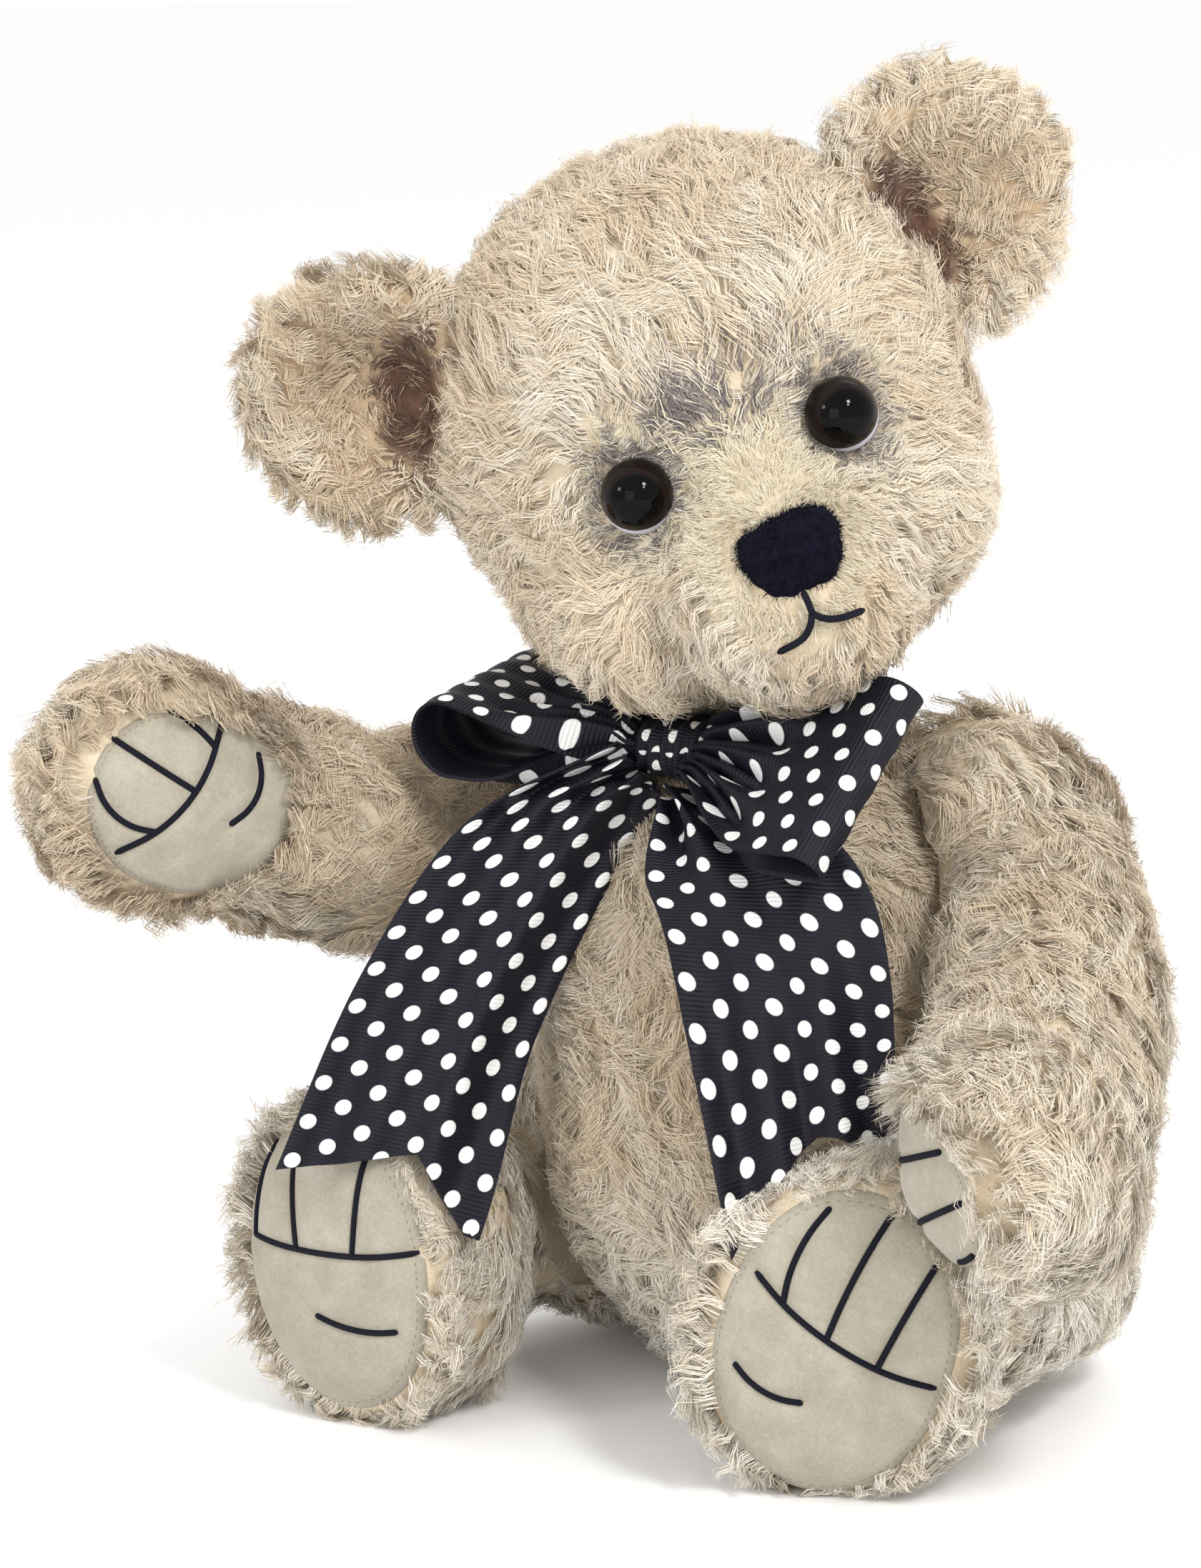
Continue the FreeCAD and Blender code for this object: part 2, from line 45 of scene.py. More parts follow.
# ------------------------------------------------------------------ frames
def rot(axis, degrees):
    a = math.radians(degrees)
    c, s = math.cos(a), math.sin(a)
    return {"x": np.array([[1, 0, 0], [0, c, -s], [0, s, c]]),
            "y": np.array([[c, 0, s], [0, 1, 0], [-s, 0, c]]),
            "z": np.array([[c, -s, 0], [s, c, 0], [0, 0, 1.0]])}[axis]


class Place:
    """A local frame in the bear's own frame, millimetres."""

    def __init__(self, origin, turn):
        self.o, self.r = np.array(origin, float), turn

    def out(self, p):
        return self.o + np.asarray(p, float) @ self.r.T

    def vec(self, v):
        return np.asarray(v, float) @ self.r.T

    def local(self, p):
        return (np.asarray(p, float) - self.o) @ self.r

    def then(self, origin, turn):
        return Place(self.out(origin), self.r @ turn)


# the same driving dimensions as the CAD frame, millimetres and degrees
HEAD_R = rot("z", 38) @ rot("y", -20) @ rot("x", 4)
HEAD = Place(np.array([0, 0, 160.0]) - HEAD_R @ np.array([0, 0, 24.0]), HEAD_R)
LIFT = {-1: 91, 1: 58}
SHOULDER = {s: Place((s * 38.5, 0, 102), rot("z", s * 17)
                     @ rot("y", -s * 16) @ rot("x", -LIFT[s]))
            for s in (-1, 1)}
HIP = {s: Place((s * 39, 2, 33), rot("z", s * splay) @ rot("y", s * 8))
       for s, splay in ((-1, 4), (1, 5))}
FOOT_X = {-1: 12.0, 1: 10.5}
FOOT = {s: HIP[s].then((s * FOOT_X[s], -66, 0),
                       rot("z", s * turn) @ rot("y", roll))
        for s, turn, roll in ((-1, 1, 5), (1, 12, 15))}
FOOT_SHIFT = {-1: (0, 0, 0), 1: (-2.5, 0, -2.5)}
TOP = {-1: ((19, 5, 8), 20.5), 1: ((11, 5, 6), 17.8)}
CAP = {-1: [], 1: [((9, -8, 7), (15, 15.5, 15.5))]}
ELBOW = ((21, 4, -42), 19.0)
PAW = {-1: ((33, -12, -90), 22.0), 1: ((20.5, -9.5, -94.5), 21.5)}
PAD_WAY = (-0.81, -0.30, -0.49)
FACE_X = 1.3            # the face sits a touch towards the bear's left
NOSE_X = 1.2            # the nose sits a little further that way
EYE = (20.2, -45.0, 55.4)
EYE_R, EYE_WHITE_R = 6.8, 6.7
MUZZLE = np.array([0, -62, 44.0])        # the pile runs back from here
SKULL = np.array([0, 2, 60.0])
EAR = {-1: (57.0, 4.0, 83.0), 1: (57.0, 4.0, 73.0)}
SIDE = {-1: "right", 1: "left"}


def flip(p, s):
    return np.array([p[0] * s, p[1], p[2]], float)


def eye_at(s):
    lower = 1.2 if s > 0 else 0.0
    return np.array([FACE_X + s * EYE[0], EYE[1], EYE[2] - lower])


def unit(v):
    v = np.asarray(v, float)
    return v / np.maximum(np.linalg.norm(v, axis=-1, keepdims=True), 1e-9)


def ease(value, low, high):
    k = np.clip((value - low) / (high - low), 0, 1)
    return k * k * (3 - 2 * k)


# ------------------------------------------------------------------ camera
def photo_camera():
    """Viewing angle of the photograph: from the bear's left, above."""
    az, el, roll = (math.radians(a) for a in (33, 11, -3))
    dist = 1100.0
    low_left = (34.44, 3.06)     # how far the view's centre is off, mm
    back = np.array([math.sin(az) * math.cos(el),
                     -math.cos(az) * math.cos(el), math.sin(el)])
    right = np.array([math.cos(az), math.sin(az), 0.0])
    up = np.cross(back, right)
    right, up = (math.cos(roll) * right + math.sin(roll) * up,
                 math.cos(roll) * up - math.sin(roll) * right)
    middle = np.array([0, 0, 118.0])
    spot = middle + back * dist
    look = unit(middle - low_left[0] * right - low_left[1] * up - spot)
    side = unit(right - look * (right @ look))
    above = np.cross(side, look)
    data = bpy.data.cameras.new("camera")
    data.sensor_fit = "AUTO"
    data.sensor_width = 36.0
    data.lens = 129.95
    data.clip_start, data.clip_end = 0.05, 20
    cam = bpy.data.objects.new("camera", data)
    scene.collection.objects.link(cam)
    m = Matrix.Identity(4)
    for i in range(3):
        m[i][0], m[i][1], m[i][2] = side[i], above[i], -look[i]
        m[i][3] = spot[i] * MM
    cam.matrix_world = m
    scene.camera = cam


photo_camera()


# --------------------------------------------------------------- materials
def srgb(r, g, b):
    def lin(c):
        c /= 255.0
        return c / 12.92 if c < 0.04045 else ((c + 0.055) / 1.055) ** 2.4
    return (lin(r), lin(g), lin(b), 1.0)


def material(name, color, rough=0.8, **sockets):
    mat = bpy.data.materials.new(name)
    mat.use_nodes = True
    shader = mat.node_tree.nodes["Principled BSDF"]
    shader.inputs["Base Color"].default_value = color
    shader.inputs["Roughness"].default_value = rough
    for key, value in sockets.items():
        shader.inputs[key.replace("_", " ")].default_value = value
    return mat


class Nodes:
    """Small helper that wires node networks."""

    def __init__(self, mat):
        self.tree = mat.node_tree
        self.shader = self.tree.nodes["Principled BSDF"]

    def add(self, kind, **values):
        node = self.tree.nodes.new("ShaderNode" + kind)
        for key, value in values.items():
            if hasattr(node, key):
                setattr(node, key, value)
            else:
                node.inputs[key.replace("_", " ")].default_value = value
        return node

    def link(self, a, b):
        self.tree.links.new(a, b)

    def math(self, op, a, b=None, c=None):
        node = self.add("Math", operation=op)
        for i, v in enumerate((a, b, c)):
            if v is None:
                continue
            if isinstance(v, (int, float)):
                node.inputs[i].default_value = v
            else:
                self.link(v, node.inputs[i])
        return node.outputs[0]

    def noise(self, scale, detail, rough):
        node = self.add("TexNoise", Scale=scale, Detail=detail,
                        Roughness=rough)
        self.link(self.object_space(), node.inputs["Vector"])
        return node.outputs["Fac"]

    def object_space(self):
        return self.add("TexCoord").outputs["Object"]

    def attribute(self, name, output="Fac"):
        return self.add("Attribute", attribute_name=name).outputs[output]

    def paint(self, color):
        self.link(color, self.shader.inputs["Base Color"])

    def ramp(self, fac, stops):
        node = self.add("ValToRGB")
        ramp = node.color_ramp
        while len(ramp.elements) < len(stops):
            ramp.elements.new(0.5)
        for element, (at, color) in zip(ramp.elements, stops):
            element.position, element.color = at, color
        self.link(fac, node.inputs["Fac"])
        return node.outputs["Color"]

    def mix(self, fac, a, b):
        node = self.add("Mix", data_type="RGBA")
        for socket, v in ((node.inputs[0], fac), (node.inputs[6], a),
                          (node.inputs[7], b)):
            if isinstance(v, (tuple, int, float)):
                socket.default_value = v
            else:
                self.link(v, socket)
        return node.outputs[2]

    def relief(self, height, strength, distance):
        node = self.add("Bump", Strength=strength, Distance=distance)
        self.link(height, node.inputs["Height"])
        self.link(node.outputs["Normal"], self.shader.inputs["Normal"])


def cloth_back():
    """Mohair's woven ground, seen only between the locks."""
    mat = material("mohair_ground", srgb(208, 192, 165), 0.95)
    n = Nodes(mat)
    n.paint(n.ramp(n.noise(260, 4, 0.7), [(0.3, srgb(198, 180, 152)),
                                          (0.7, srgb(218, 203, 177))]))
    n.relief(n.noise(900, 3, 0.7), 0.6, 0.0006)
    return mat


def ear_ground():
    """Ground of the ears, painted dark brown as shade in the hollow beside the
    head.
    """
    mat = material("ear_ground", srgb(206, 188, 160), 0.95)
    n = Nodes(mat)
    pale = n.ramp(n.noise(260, 4, 0.7), [(0.3, srgb(164, 138, 110)),
                                         (0.7, srgb(190, 168, 138))])
    # painted shade: dark brown ground in the ear's hollow
    hollow_shade = n.ramp(n.noise(400, 4, 0.7), [(0.3, srgb(66, 44, 34)),
                                         (0.7, srgb(104, 74, 56))])
    n.paint(n.mix(n.attribute("hollow"), pale, hollow_shade))
    n.relief(n.noise(900, 3, 0.7), 0.6, 0.0006)
    return mat


def suede():
    mat = material("suede", srgb(188, 179, 155), 0.95, Sheen_Weight=0.2,
                   Sheen_Roughness=0.5)
    n = Nodes(mat)
    grain = n.noise(1500, 3, 0.8)
    color = n.ramp(n.noise(120, 4, 0.65), [(0.3, srgb(162, 155, 138)),
                                           (0.55, srgb(174, 167, 151)),
                                           (0.75, srgb(185, 179, 165))])
    speck = n.ramp(grain, [(0.35, (0.80, 0.79, 0.77, 1)),
                           (0.65, (1, 1, 1, 1))])
    tint = n.add("Mix", data_type="RGBA", blend_type="MULTIPLY")
    tint.inputs[0].default_value = 0.8
    n.link(color, tint.inputs[6])
    n.link(speck, tint.inputs[7])
    n.paint(tint.outputs[2])
    n.relief(grain, 0.5, 0.0004)
    return mat


def thread_material():
    mat = material("navy_thread", srgb(14, 14, 28), 0.7,
                   Specular_IOR_Level=0.2)
    n = Nodes(mat)
    wave = n.add("TexWave", Scale=900.0, Distortion=1.5)
    n.link(n.object_space(), wave.inputs["Vector"])
    n.paint(n.ramp(wave.outputs["Fac"], [(0.2, srgb(7, 7, 16)),
                                         (0.8, srgb(18, 18, 36))]))
    n.relief(wave.outputs["Fac"], 0.5, 0.0003)
    return mat


def felt_material():
    mat = material("navy_felt", srgb(20, 18, 38), 0.95,
                   Specular_IOR_Level=0.15)
    n = Nodes(mat)
    n.paint(n.ramp(n.noise(700, 5, 0.8), [(0.35, srgb(9, 8, 20)),
                                          (0.7, srgb(24, 22, 42))]))
    n.relief(n.noise(1200, 5, 0.8), 0.9, 0.0006)
    return mat


def glass_eye():
    mat = material("eye_glass", srgb(12, 9, 8), 0.02, IOR=1.45,
                   Specular_IOR_Level=0.14)
    n = Nodes(mat)
    n.paint(n.ramp(n.attribute("iris"), [
        (0.0, srgb(3, 3, 4)), (0.5, srgb(4, 3, 4)), (0.56, srgb(26, 17, 15)),
        (0.8, srgb(20, 13, 11)), (1.0, srgb(5, 4, 4))]))
    return mat


DOT_ALONG, DOT_COLUMN, DOT_R, DOT_EDGE, RIB = 8.4, 5.6, 1.6, 0.1, 0.85


def grosgrain(dotted=True):
    """Ribbed navy ribbon; the face has white dots in staggered rows."""
    mat = material("grosgrain_face" if dotted else "grosgrain_back",
                   srgb(20, 20, 34), 0.6, Specular_IOR_Level=0.28)
    n = Nodes(mat)
    sep = n.add("SeparateXYZ")
    n.link(n.attribute("ribbon", "Vector"), sep.inputs[0])
    u, v = sep.outputs[0], sep.outputs[1]

    def off(value, period, shift):
        moved = n.math("ADD", n.math("DIVIDE", value, period), shift)
        return n.math("MULTIPLY",
                      n.math("SUBTRACT", n.math("FRACT", moved), 0.5),
                      period)

    def lattice(shift):
        a = off(u, DOT_ALONG, shift)
        b = off(v, 2 * DOT_COLUMN, shift + 0.25)
        return n.math("SQRT", n.math("ADD", n.math("MULTIPLY", a, a),
                                     n.math("MULTIPLY", b, b)))

    rib = n.math("SINE", n.math("MULTIPLY", u, 2 * math.pi / RIB))
    weave = n.noise(900, 2, 0.6)
    navy = n.ramp(n.math("ADD", n.math("MULTIPLY", rib, 0.25),
                         n.math("MULTIPLY", weave, 0.9)),
                  [(0.2, srgb(5, 5, 14)), (0.75, srgb(19, 18, 34))])
    height = n.math("ADD", n.math("MULTIPLY", rib, 0.5),
                    n.math("MULTIPLY", weave, 0.3))
    if dotted:
        near = n.math("MINIMUM", lattice(0.0), lattice(0.5))
        inside = n.add("MapRange", clamp=True)
        n.link(near, inside.inputs["Value"])
        inside.inputs["From Min"].default_value = DOT_R + DOT_EDGE
        inside.inputs["From Max"].default_value = DOT_R - DOT_EDGE
        dot = inside.outputs["Result"]
        n.paint(n.mix(dot, navy, srgb(238, 238, 236)))
        height = n.math("ADD", height, n.math("MULTIPLY", dot, 0.8))
    else:
        n.paint(navy)
    n.relief(height, 0.6, 0.0002)
    return mat


def steel():
    mat = material("zinc_steel", (0.55, 0.55, 0.57, 1), 0.35, Metallic=1.0)
    n = Nodes(mat)
    n.paint(n.ramp(n.noise(900, 3, 0.6), [(0.3, (0.42, 0.42, 0.44, 1)),
                                          (0.7, (0.62, 0.62, 0.64, 1))]))
    return mat


def hardboard():
    mat = material("hardboard", srgb(120, 82, 50), 0.8)
    n = Nodes(mat)
    n.paint(n.ramp(n.noise(500, 6, 0.75), [(0.3, srgb(92, 60, 36)),
                                           (0.7, srgb(146, 104, 66))]))
    return mat


GROUND, SUEDE, THREAD = cloth_back(), suede(), thread_material()
EAR_PAINTED_SHADE_GROUND = ear_ground()
FELT, GLASS = felt_material(), glass_eye()
SEAM = material("seam_thread", srgb(120, 98, 72), 0.8)
EYE_WHITE = material("eye_white_felt", srgb(186, 184, 194), 0.9)
FACE, BACK = grosgrain(True), grosgrain(False)
STEEL, BOARD = steel(), hardboard()

# pile tints: six from dark to light, three greys (also used for painted
# shade), brown for painted shade, cream
TINTS = [srgb(190, 166, 136), srgb(202, 182, 154), srgb(213, 196, 170),
         srgb(222, 211, 192), srgb(231, 223, 209), srgb(240, 235, 225),
         srgb(92, 84, 84), srgb(120, 111, 109), srgb(154, 145, 138),
         srgb(92, 64, 50), srgb(218, 208, 181)]
LIGHTEST, GREY_DARK, GREY_LIGHT, SHADE_BROWN, CREAM = 5, 6, 8, 9, 10
PILE = [material("pile_%02d" % i, c, 0.72, Sheen_Weight=0.3,
                 Sheen_Roughness=0.45) for i, c in enumerate(TINTS)]

for name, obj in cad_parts.items():
    finish_of = STEEL if name.endswith(
        ("bolt", "locknut", "pin", "spindle")) or "shank" in name else BOARD
    obj.data.materials.clear()
    obj.data.materials.append(finish_of)


# ------------------------------------------------------------ mesh helpers
def mesh_object(name, verts_mm, faces, mats=(), smooth=True):
    data = bpy.data.meshes.new(name)
    data.from_pydata((np.asarray(verts_mm) * MM).tolist(), [], faces)
    data.update()
    obj = bpy.data.objects.new(name, data)
    scene.collection.objects.link(obj)
    for mat in mats:
        data.materials.append(mat)
    if smooth:
        data.shade_smooth()
    return obj


def ball_mesh(detail):
    bm = bmesh.new()
    bmesh.ops.create_icosphere(bm, subdivisions=detail, radius=1.0)
    verts = np.array([v.co for v in bm.verts])
    faces = [[v.index for v in f.verts] for f in bm.faces]
    bm.free()
    return verts, faces


BALL, BALL_FACES = ball_mesh(4)
SOFT_BALL, SOFT_FACES = ball_mesh(5)


def ellipsoid(place, centre, radii):
    return place.out(BALL * radii + np.array(centre, float))


def tube(place, a, ra, b, rb, steps=8):
    a, b = np.array(a, float), np.array(b, float)
    return [ellipsoid(place, a + (b - a) * k, [ra + (rb - ra) * k] * 3)
            for k in np.linspace(0, 1, steps)]


def drum(place, half, power):
    """Rounded drum: an oval outline in XZ and a flatter face along Y."""
    rho = np.hypot(BALL[:, 0], BALL[:, 2])
    grow = (rho ** power + np.abs(BALL[:, 1]) ** power) ** (-1 / power)
    return place.out(BALL * grow[:, None] * half)


def ear_dish(place, radius):
    """Cupped ear: hollow towards -Y, with a thick rolled rim."""
    cos = -BALL[:, 1]
    rho = np.hypot(BALL[:, 0], BALL[:, 2])
    swell = np.maximum(rho, 1e-6) ** 0.8 / np.maximum(rho, 1e-6)
    ring = rho ** 0.8
    y = np.where(cos > 0, -(8.5 * cos - 10.0 * (1 - ring ** 2) ** 2),
                 -9.5 * cos)
    return place.out(np.stack([BALL[:, 0] * swell * radius, y,
                               BALL[:, 2] * swell * radius], 1))


def welded(name, clouds, voxel=1.6, smooth=10):
    """One skin over overlapping closed shapes."""
    verts = np.concatenate(clouds)
    step = len(BALL)
    faces = [[i + k * step for i in f] for k in range(len(clouds))
             for f in BALL_FACES]
    obj = mesh_object(name, verts, faces)
    remesh = obj.modifiers.new("remesh", "REMESH")
    remesh.mode, remesh.voxel_size = "VOXEL", voxel * MM
    soften = obj.modifiers.new("soften", "SMOOTH")
    soften.factor, soften.iterations = 0.5, smooth
    bpy.context.view_layer.update()
    made = bpy.data.meshes.new_from_object(
        obj.evaluated_get(bpy.context.evaluated_depsgraph_get()))
    obj.modifiers.clear()
    obj.data = made
    made.name = name
    return obj


def get_points(obj):
    co = np.zeros(len(obj.data.vertices) * 3, np.float32)
    obj.data.vertices.foreach_get("co", co)
    return co.reshape(-1, 3).astype(float) / MM


def set_points(obj, points):
    obj.data.vertices.foreach_set(
        "co", (points * MM).astype(np.float32).ravel())
    obj.data.update()
    obj.data.shade_smooth()


def finish_skin(obj, body, nodes, mat=None):
    obj.data.materials.clear()
    obj.data.materials.append(mat or GROUND)
    obj.data.shade_smooth()
    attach(obj, body)
    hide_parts(*nodes)
    return obj


class Surface:
    """Ray casts against a finished skin, millimetres."""

    def __init__(self, obj):
        points = get_points(obj)
        faces = [tuple(p.vertices) for p in obj.data.polygons]
        self.tree = BVHTree.FromPolygons([Vector(p) for p in points], faces)

    def drop(self, place, x, z, start=-45.0, reach=90.0):
        """Local Y of the surface met by a ray along +Y at (x, z)."""
        spot = place.out((x, start, z))
        way = place.vec((0, 1, 0))
        hit = self.tree.ray_cast(Vector(spot), Vector(way), reach)
        return None if hit[0] is None else start + hit[3]


# ------------------------------------------------------------------- skins
def torso_skin():
    base = Place((0, 0, 0), np.eye(3))
    obj = welded("torso_cover", [
        ellipsoid(base, (0, 0, 63), (48, 48, 71)),
        ellipsoid(base, (0, -5, 50), (45, 45, 48))])
    p = get_points(obj)
    for s in (-1, 1):
        for joint in (SHOULDER[s], HIP[s]):
            q = joint.local(p)
            q[:, 0] = s * np.minimum(q[:, 0] * s, -0.3)
            p = joint.out(q)
    p[:, 2] = np.clip(p[:, 2], 0.3, 130.6)
    set_points(obj, p)
    return finish_skin(obj, "torso", ["torso_skin", "torso_filling"])


def head_skin():
    obj = welded("head_cover", [
        ellipsoid(HEAD, (0, 2, 54), (49.5, 49.5, 47)),
        ellipsoid(HEAD, (0, 4, 61), (48, 47, 44)),
        ellipsoid(HEAD, (0, -5, 38), (47, 47, 37)),
        ellipsoid(HEAD, (FACE_X, -44, 30), (22.5, 26, 22.5)),
        ellipsoid(HEAD, (FACE_X, -41, 46), (12, 15, 15)),
        ellipsoid(HEAD, (21, -27, 32), (21, 20, 19)),
        ellipsoid(HEAD, (-21, -27, 32), (21, 20, 19))], smooth=14)
    q = HEAD.local(get_points(obj))
    for s in (-1, 1):
        centre = eye_at(s)
        d = np.linalg.norm(q - centre, axis=1)
        sink = 2.2 * np.exp(-(d / 10.0) ** 2)
        q[:, 1] += sink
    set_points(obj, HEAD.out(q))
    return finish_skin(obj, "head", ["head_skin", "head_filling"])


def ear_place(s):
    n = unit(np.array([s * 0.28, -0.96, 0.05]))
    x = unit(np.cross(n, (0, 0, 1.0)) * -1)
    turn = np.stack([x, -n, np.cross(x, -n)], 1)
    return HEAD.then(flip(EAR[s], s), turn)


def to_skull(s):
    """Direction in the ear's own plane, from its middle to the skull."""
    x, _, z = ear_place(s).local(HEAD.out(SKULL))
    return unit(np.array([x, z]))


def ear_shade_well(s, q):
    """1 in the ear's hollow beside the skull, where dark shade is painted,
    fading to 0.
    """
    e = ear_place(s).local(HEAD.out(q))
    inward = to_skull(s)
    radial = e[:, 0] * inward[0] + e[:, 2] * inward[1] - 8.0
    round_ = e[:, 0] * inward[1] - e[:, 2] * inward[0]
    hollow = np.hypot(radial / 6.0, round_ / 12.0)
    return (e[:, 1] < 1.5) * (1 - ease(hollow, 0.75, 1.35))


def ear_skin(s):
    obj = welded("ear_%s_cover" % SIDE[s], [ear_dish(ear_place(s), 22.8)],
                 voxel=1.0, smooth=6)
    # painted shade mask for the ear's hollow
    hollow_shade = ear_shade_well(s, HEAD.local(get_points(obj)))
    data = obj.data.attributes.new("hollow", "FLOAT", "POINT")
    data.data.foreach_set("value", hollow_shade.astype(np.float32))
    return finish_skin(obj, "head", ["ear_%s" % SIDE[s]], EAR_PAINTED_SHADE_GROUND)


def paw_place(s):
    """Frame of the paw: -Y out through its pad, +Z to the fingertips."""
    centre = flip(PAW[s][0], s)
    n = unit(flip(PAD_WAY, s))
    along = centre - flip(ELBOW[0], s)
    along = unit(along - n * (along @ n))
    return SHOULDER[s].then(centre,
                            np.stack([np.cross(along, n), -n, along], 1))


def arm_skin(s):
    here, (centre, r) = SHOULDER[s], PAW[s]
    top, top_r = TOP[s]
    clouds = tube(here, flip(top, s), top_r, flip(ELBOW[0], s), 19.3)
    clouds += [ellipsoid(here, c, r) for c, r in CAP[s]]
    clouds += tube(here, flip(ELBOW[0], s), 18.6, flip(centre, s), r - 1)
    clouds.append(drum(paw_place(s), (r + 0.8, r * 0.82, r + 0.8), 2.8))
    obj = welded("arm_%s_cover" % SIDE[s], clouds, smooth=12)
    q = here.local(get_points(obj))
    q[:, 0] = s * np.maximum(q[:, 0] * s, 0.7)
    set_points(obj, here.out(q))
    name = "arm_" + SIDE[s]
    return finish_skin(obj, name, [name + "_skin", name + "_filling"])


def leg_skin(s):
    here = HIP[s]
    clouds = [ellipsoid(here, (s * 1.0, 0, 0), (29, 30.5, 30.5))]
    clouds += tube(here, (s * 15.5, -4, -4), 18, (s * 15.5, -52, 0), 20)
    clouds.append(drum(FOOT[s].then(FOOT_SHIFT[s], np.eye(3)),
                       (26.5 + s, 17, 32), 4.0))
    obj = welded("leg_%s_cover" % SIDE[s], clouds, smooth=10)
    q = here.local(get_points(obj))
    joint_face = 0.7 - 30 * ease(-q[:, 1], 34, 52)
    q[:, 0] = s * np.maximum(q[:, 0] * s, joint_face)
    p = here.out(q)
    p[:, 2] = np.maximum(p[:, 2], 0.4)
    set_points(obj, p)
    name = "leg_" + SIDE[s]
    return finish_skin(obj, name, [name + "_skin", name + "_filling"])


# -------------------------------------------------------------- suede pads
def smooth_line(points, per_span=10):
    """Catmull-Rom curve through the points."""
    p = np.asarray(points, float)
    p = np.concatenate([2 * p[:1] - p[1:2], p, 2 * p[-1:] - p[-2:-1]])
    out = []
    for i in range(1, len(p) - 2):
        for t in np.linspace(0, 1, per_span, endpoint=False):
            a, b, c, d = p[i - 1:i + 3]
            out.append(0.5 * (2 * b + (c - a) * t
                              + (2 * a - 5 * b + 4 * c - d) * t * t
                              + (3 * b - a - 3 * c + d) * t ** 3))
    out.append(p[-2])
    return np.array(out)


def threads(name, lines_mm, radius, mat, body, replaces=()):
    data = bpy.data.curves.new(name, "CURVE")
    data.dimensions = "3D"
    data.bevel_depth, data.bevel_resolution = radius * MM, 3
    data.use_fill_caps = True
    for line in lines_mm:
        spline = data.splines.new("POLY")
        spline.points.add(len(line) - 1)
        for point, spot in zip(spline.points, line):
            point.co = (*(np.asarray(spot) * MM), 1.0)
        for point in (spline.points[0], spline.points[-1]):
            point.radius = 0.55
    data.materials.append(mat)
    obj = bpy.data.objects.new(name, data)
    scene.collection.objects.link(obj)
    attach(obj, body)
    if replaces:
        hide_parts(*replaces)


class Outline:
    """Closed pad outline in its plane: half sizes, centre, a side bulge."""

    def __init__(self, half, centre=(0, 0), bulge=(0, 0, 1), power=2.15):
        self.half, self.centre = np.array(half, float), np.array(centre)
        self.bulge, self.power = bulge, power

    def radius(self, angle):
        c, s = np.cos(angle), np.sin(angle)
        e = self.power
        r = ((np.abs(c) / self.half[0]) ** e
             + (np.abs(s) / self.half[1]) ** e) ** (-1 / e)
        size, at, spread = self.bulge
        turn = (angle - at + math.pi) % (2 * math.pi) - math.pi
        return r * (1 + size * np.exp(-(turn / spread) ** 2))

    def ratio(self, x, z):
        """1 on the outline, less inside."""
        dx, dz = x - self.centre[0], z - self.centre[1]
        return np.hypot(dx, dz) / self.radius(np.arctan2(dz, dx))


def to_line(points, x, z):
    """Distance from grid points to a polyline in the pad's plane."""
    best = np.full(x.shape, 1e9)
    for a, b in zip(points[:-1], points[1:]):
        ab = b - a
        k = np.clip(((x - a[0]) * ab[0] + (z - a[1]) * ab[1])
                    / max(ab @ ab, 1e-9), 0, 1)
        best = np.minimum(best, np.hypot(x - a[0] - k * ab[0],
                                         z - a[1] - k * ab[1]))
    return best


PAD_LIFT, PAD_BACK = 1.1, 0.7    # the pad's face and back off the skin
GROOVE, GROOVE_HALF = 0.75, 1.5  # the dent that a stitch line pulls in
STITCH_R, SEAM_R = 0.62, 0.16
SEAM_SHARE, SEAM_STEP, SEAM_DASH = 0.945, 0.075, 0.03


def suede_pad(name, body, skin, place, outline, lines):
    surface = Surface(skin)
    rings, around = 40, 180
    angle = np.linspace(0, 2 * math.pi, around, endpoint=False)
    reach = outline.radius(angle)
    share = np.linspace(0, 1, rings + 1)[1:]
    x = outline.centre[0] + share[:, None] * (reach * np.cos(angle))
    z = outline.centre[1] + share[:, None] * (reach * np.sin(angle))
    y = np.full(x.shape, np.nan)
    for i in range(rings):
        for j in range(around):
            hit = surface.drop(place, x[i, j], z[i, j])
            y[i, j] = np.nan if hit is None else hit
    middle = surface.drop(place, *outline.centre)
    for i in range(rings):
        gap = np.isnan(y[i])
        y[i][gap] = y[i - 1][gap] + 0.6 if i else middle
    for _ in range(6):
        y[1:-1] = (y[1:-1] * 2 + y[:-2] + y[2:] + np.roll(y, 1, 1)[1:-1]
                   + np.roll(y, -1, 1)[1:-1]) / 6
    drawn = [smooth_line(line) for line in lines]
    groove = np.zeros(x.shape)
    for line in drawn:
        groove = np.maximum(groove, np.exp(-(to_line(line, x, z)
                                             / GROOVE_HALF) ** 2))
    edge = np.clip((share[:, None] - 0.9) / 0.1, 0, 1) ** 2
    top = y - PAD_LIFT * (1 - edge * 0.8) + groove * GROOVE
    ring_points = [np.stack([x[i], top[i], z[i]], 1) for i in range(rings)]
    ring_points.append(np.stack([x[-1], y[-1] + 0.9, z[-1]], 1))
    back = y + PAD_BACK
    for i in range(rings - 2, 4, -6):
        ring_points.append(np.stack([x[i], back[i], z[i]], 1))
    cx, cz = outline.centre
    verts = [np.array([[cx, middle - PAD_LIFT, cz]])] + ring_points
    verts.append(np.array([[cx, middle + PAD_BACK, cz]]))
    faces = []
    for j in range(around):
        k = (j + 1) % around
        faces.append((0, 1 + j, 1 + k))
        for i in range(len(ring_points) - 1):
            a, b = 1 + i * around, 1 + (i + 1) * around
            faces.append((a + j, b + j, b + k, a + k))
        last = 1 + (len(ring_points) - 1) * around
        faces.append((last + j, last + around, last + k))
    obj = mesh_object(name + "_suede", place.out(np.concatenate(verts)),
                      faces, [SUEDE])
    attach(obj, body)
    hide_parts(name)
    stitch_pad(name, body, Surface(obj), place, outline, drawn)


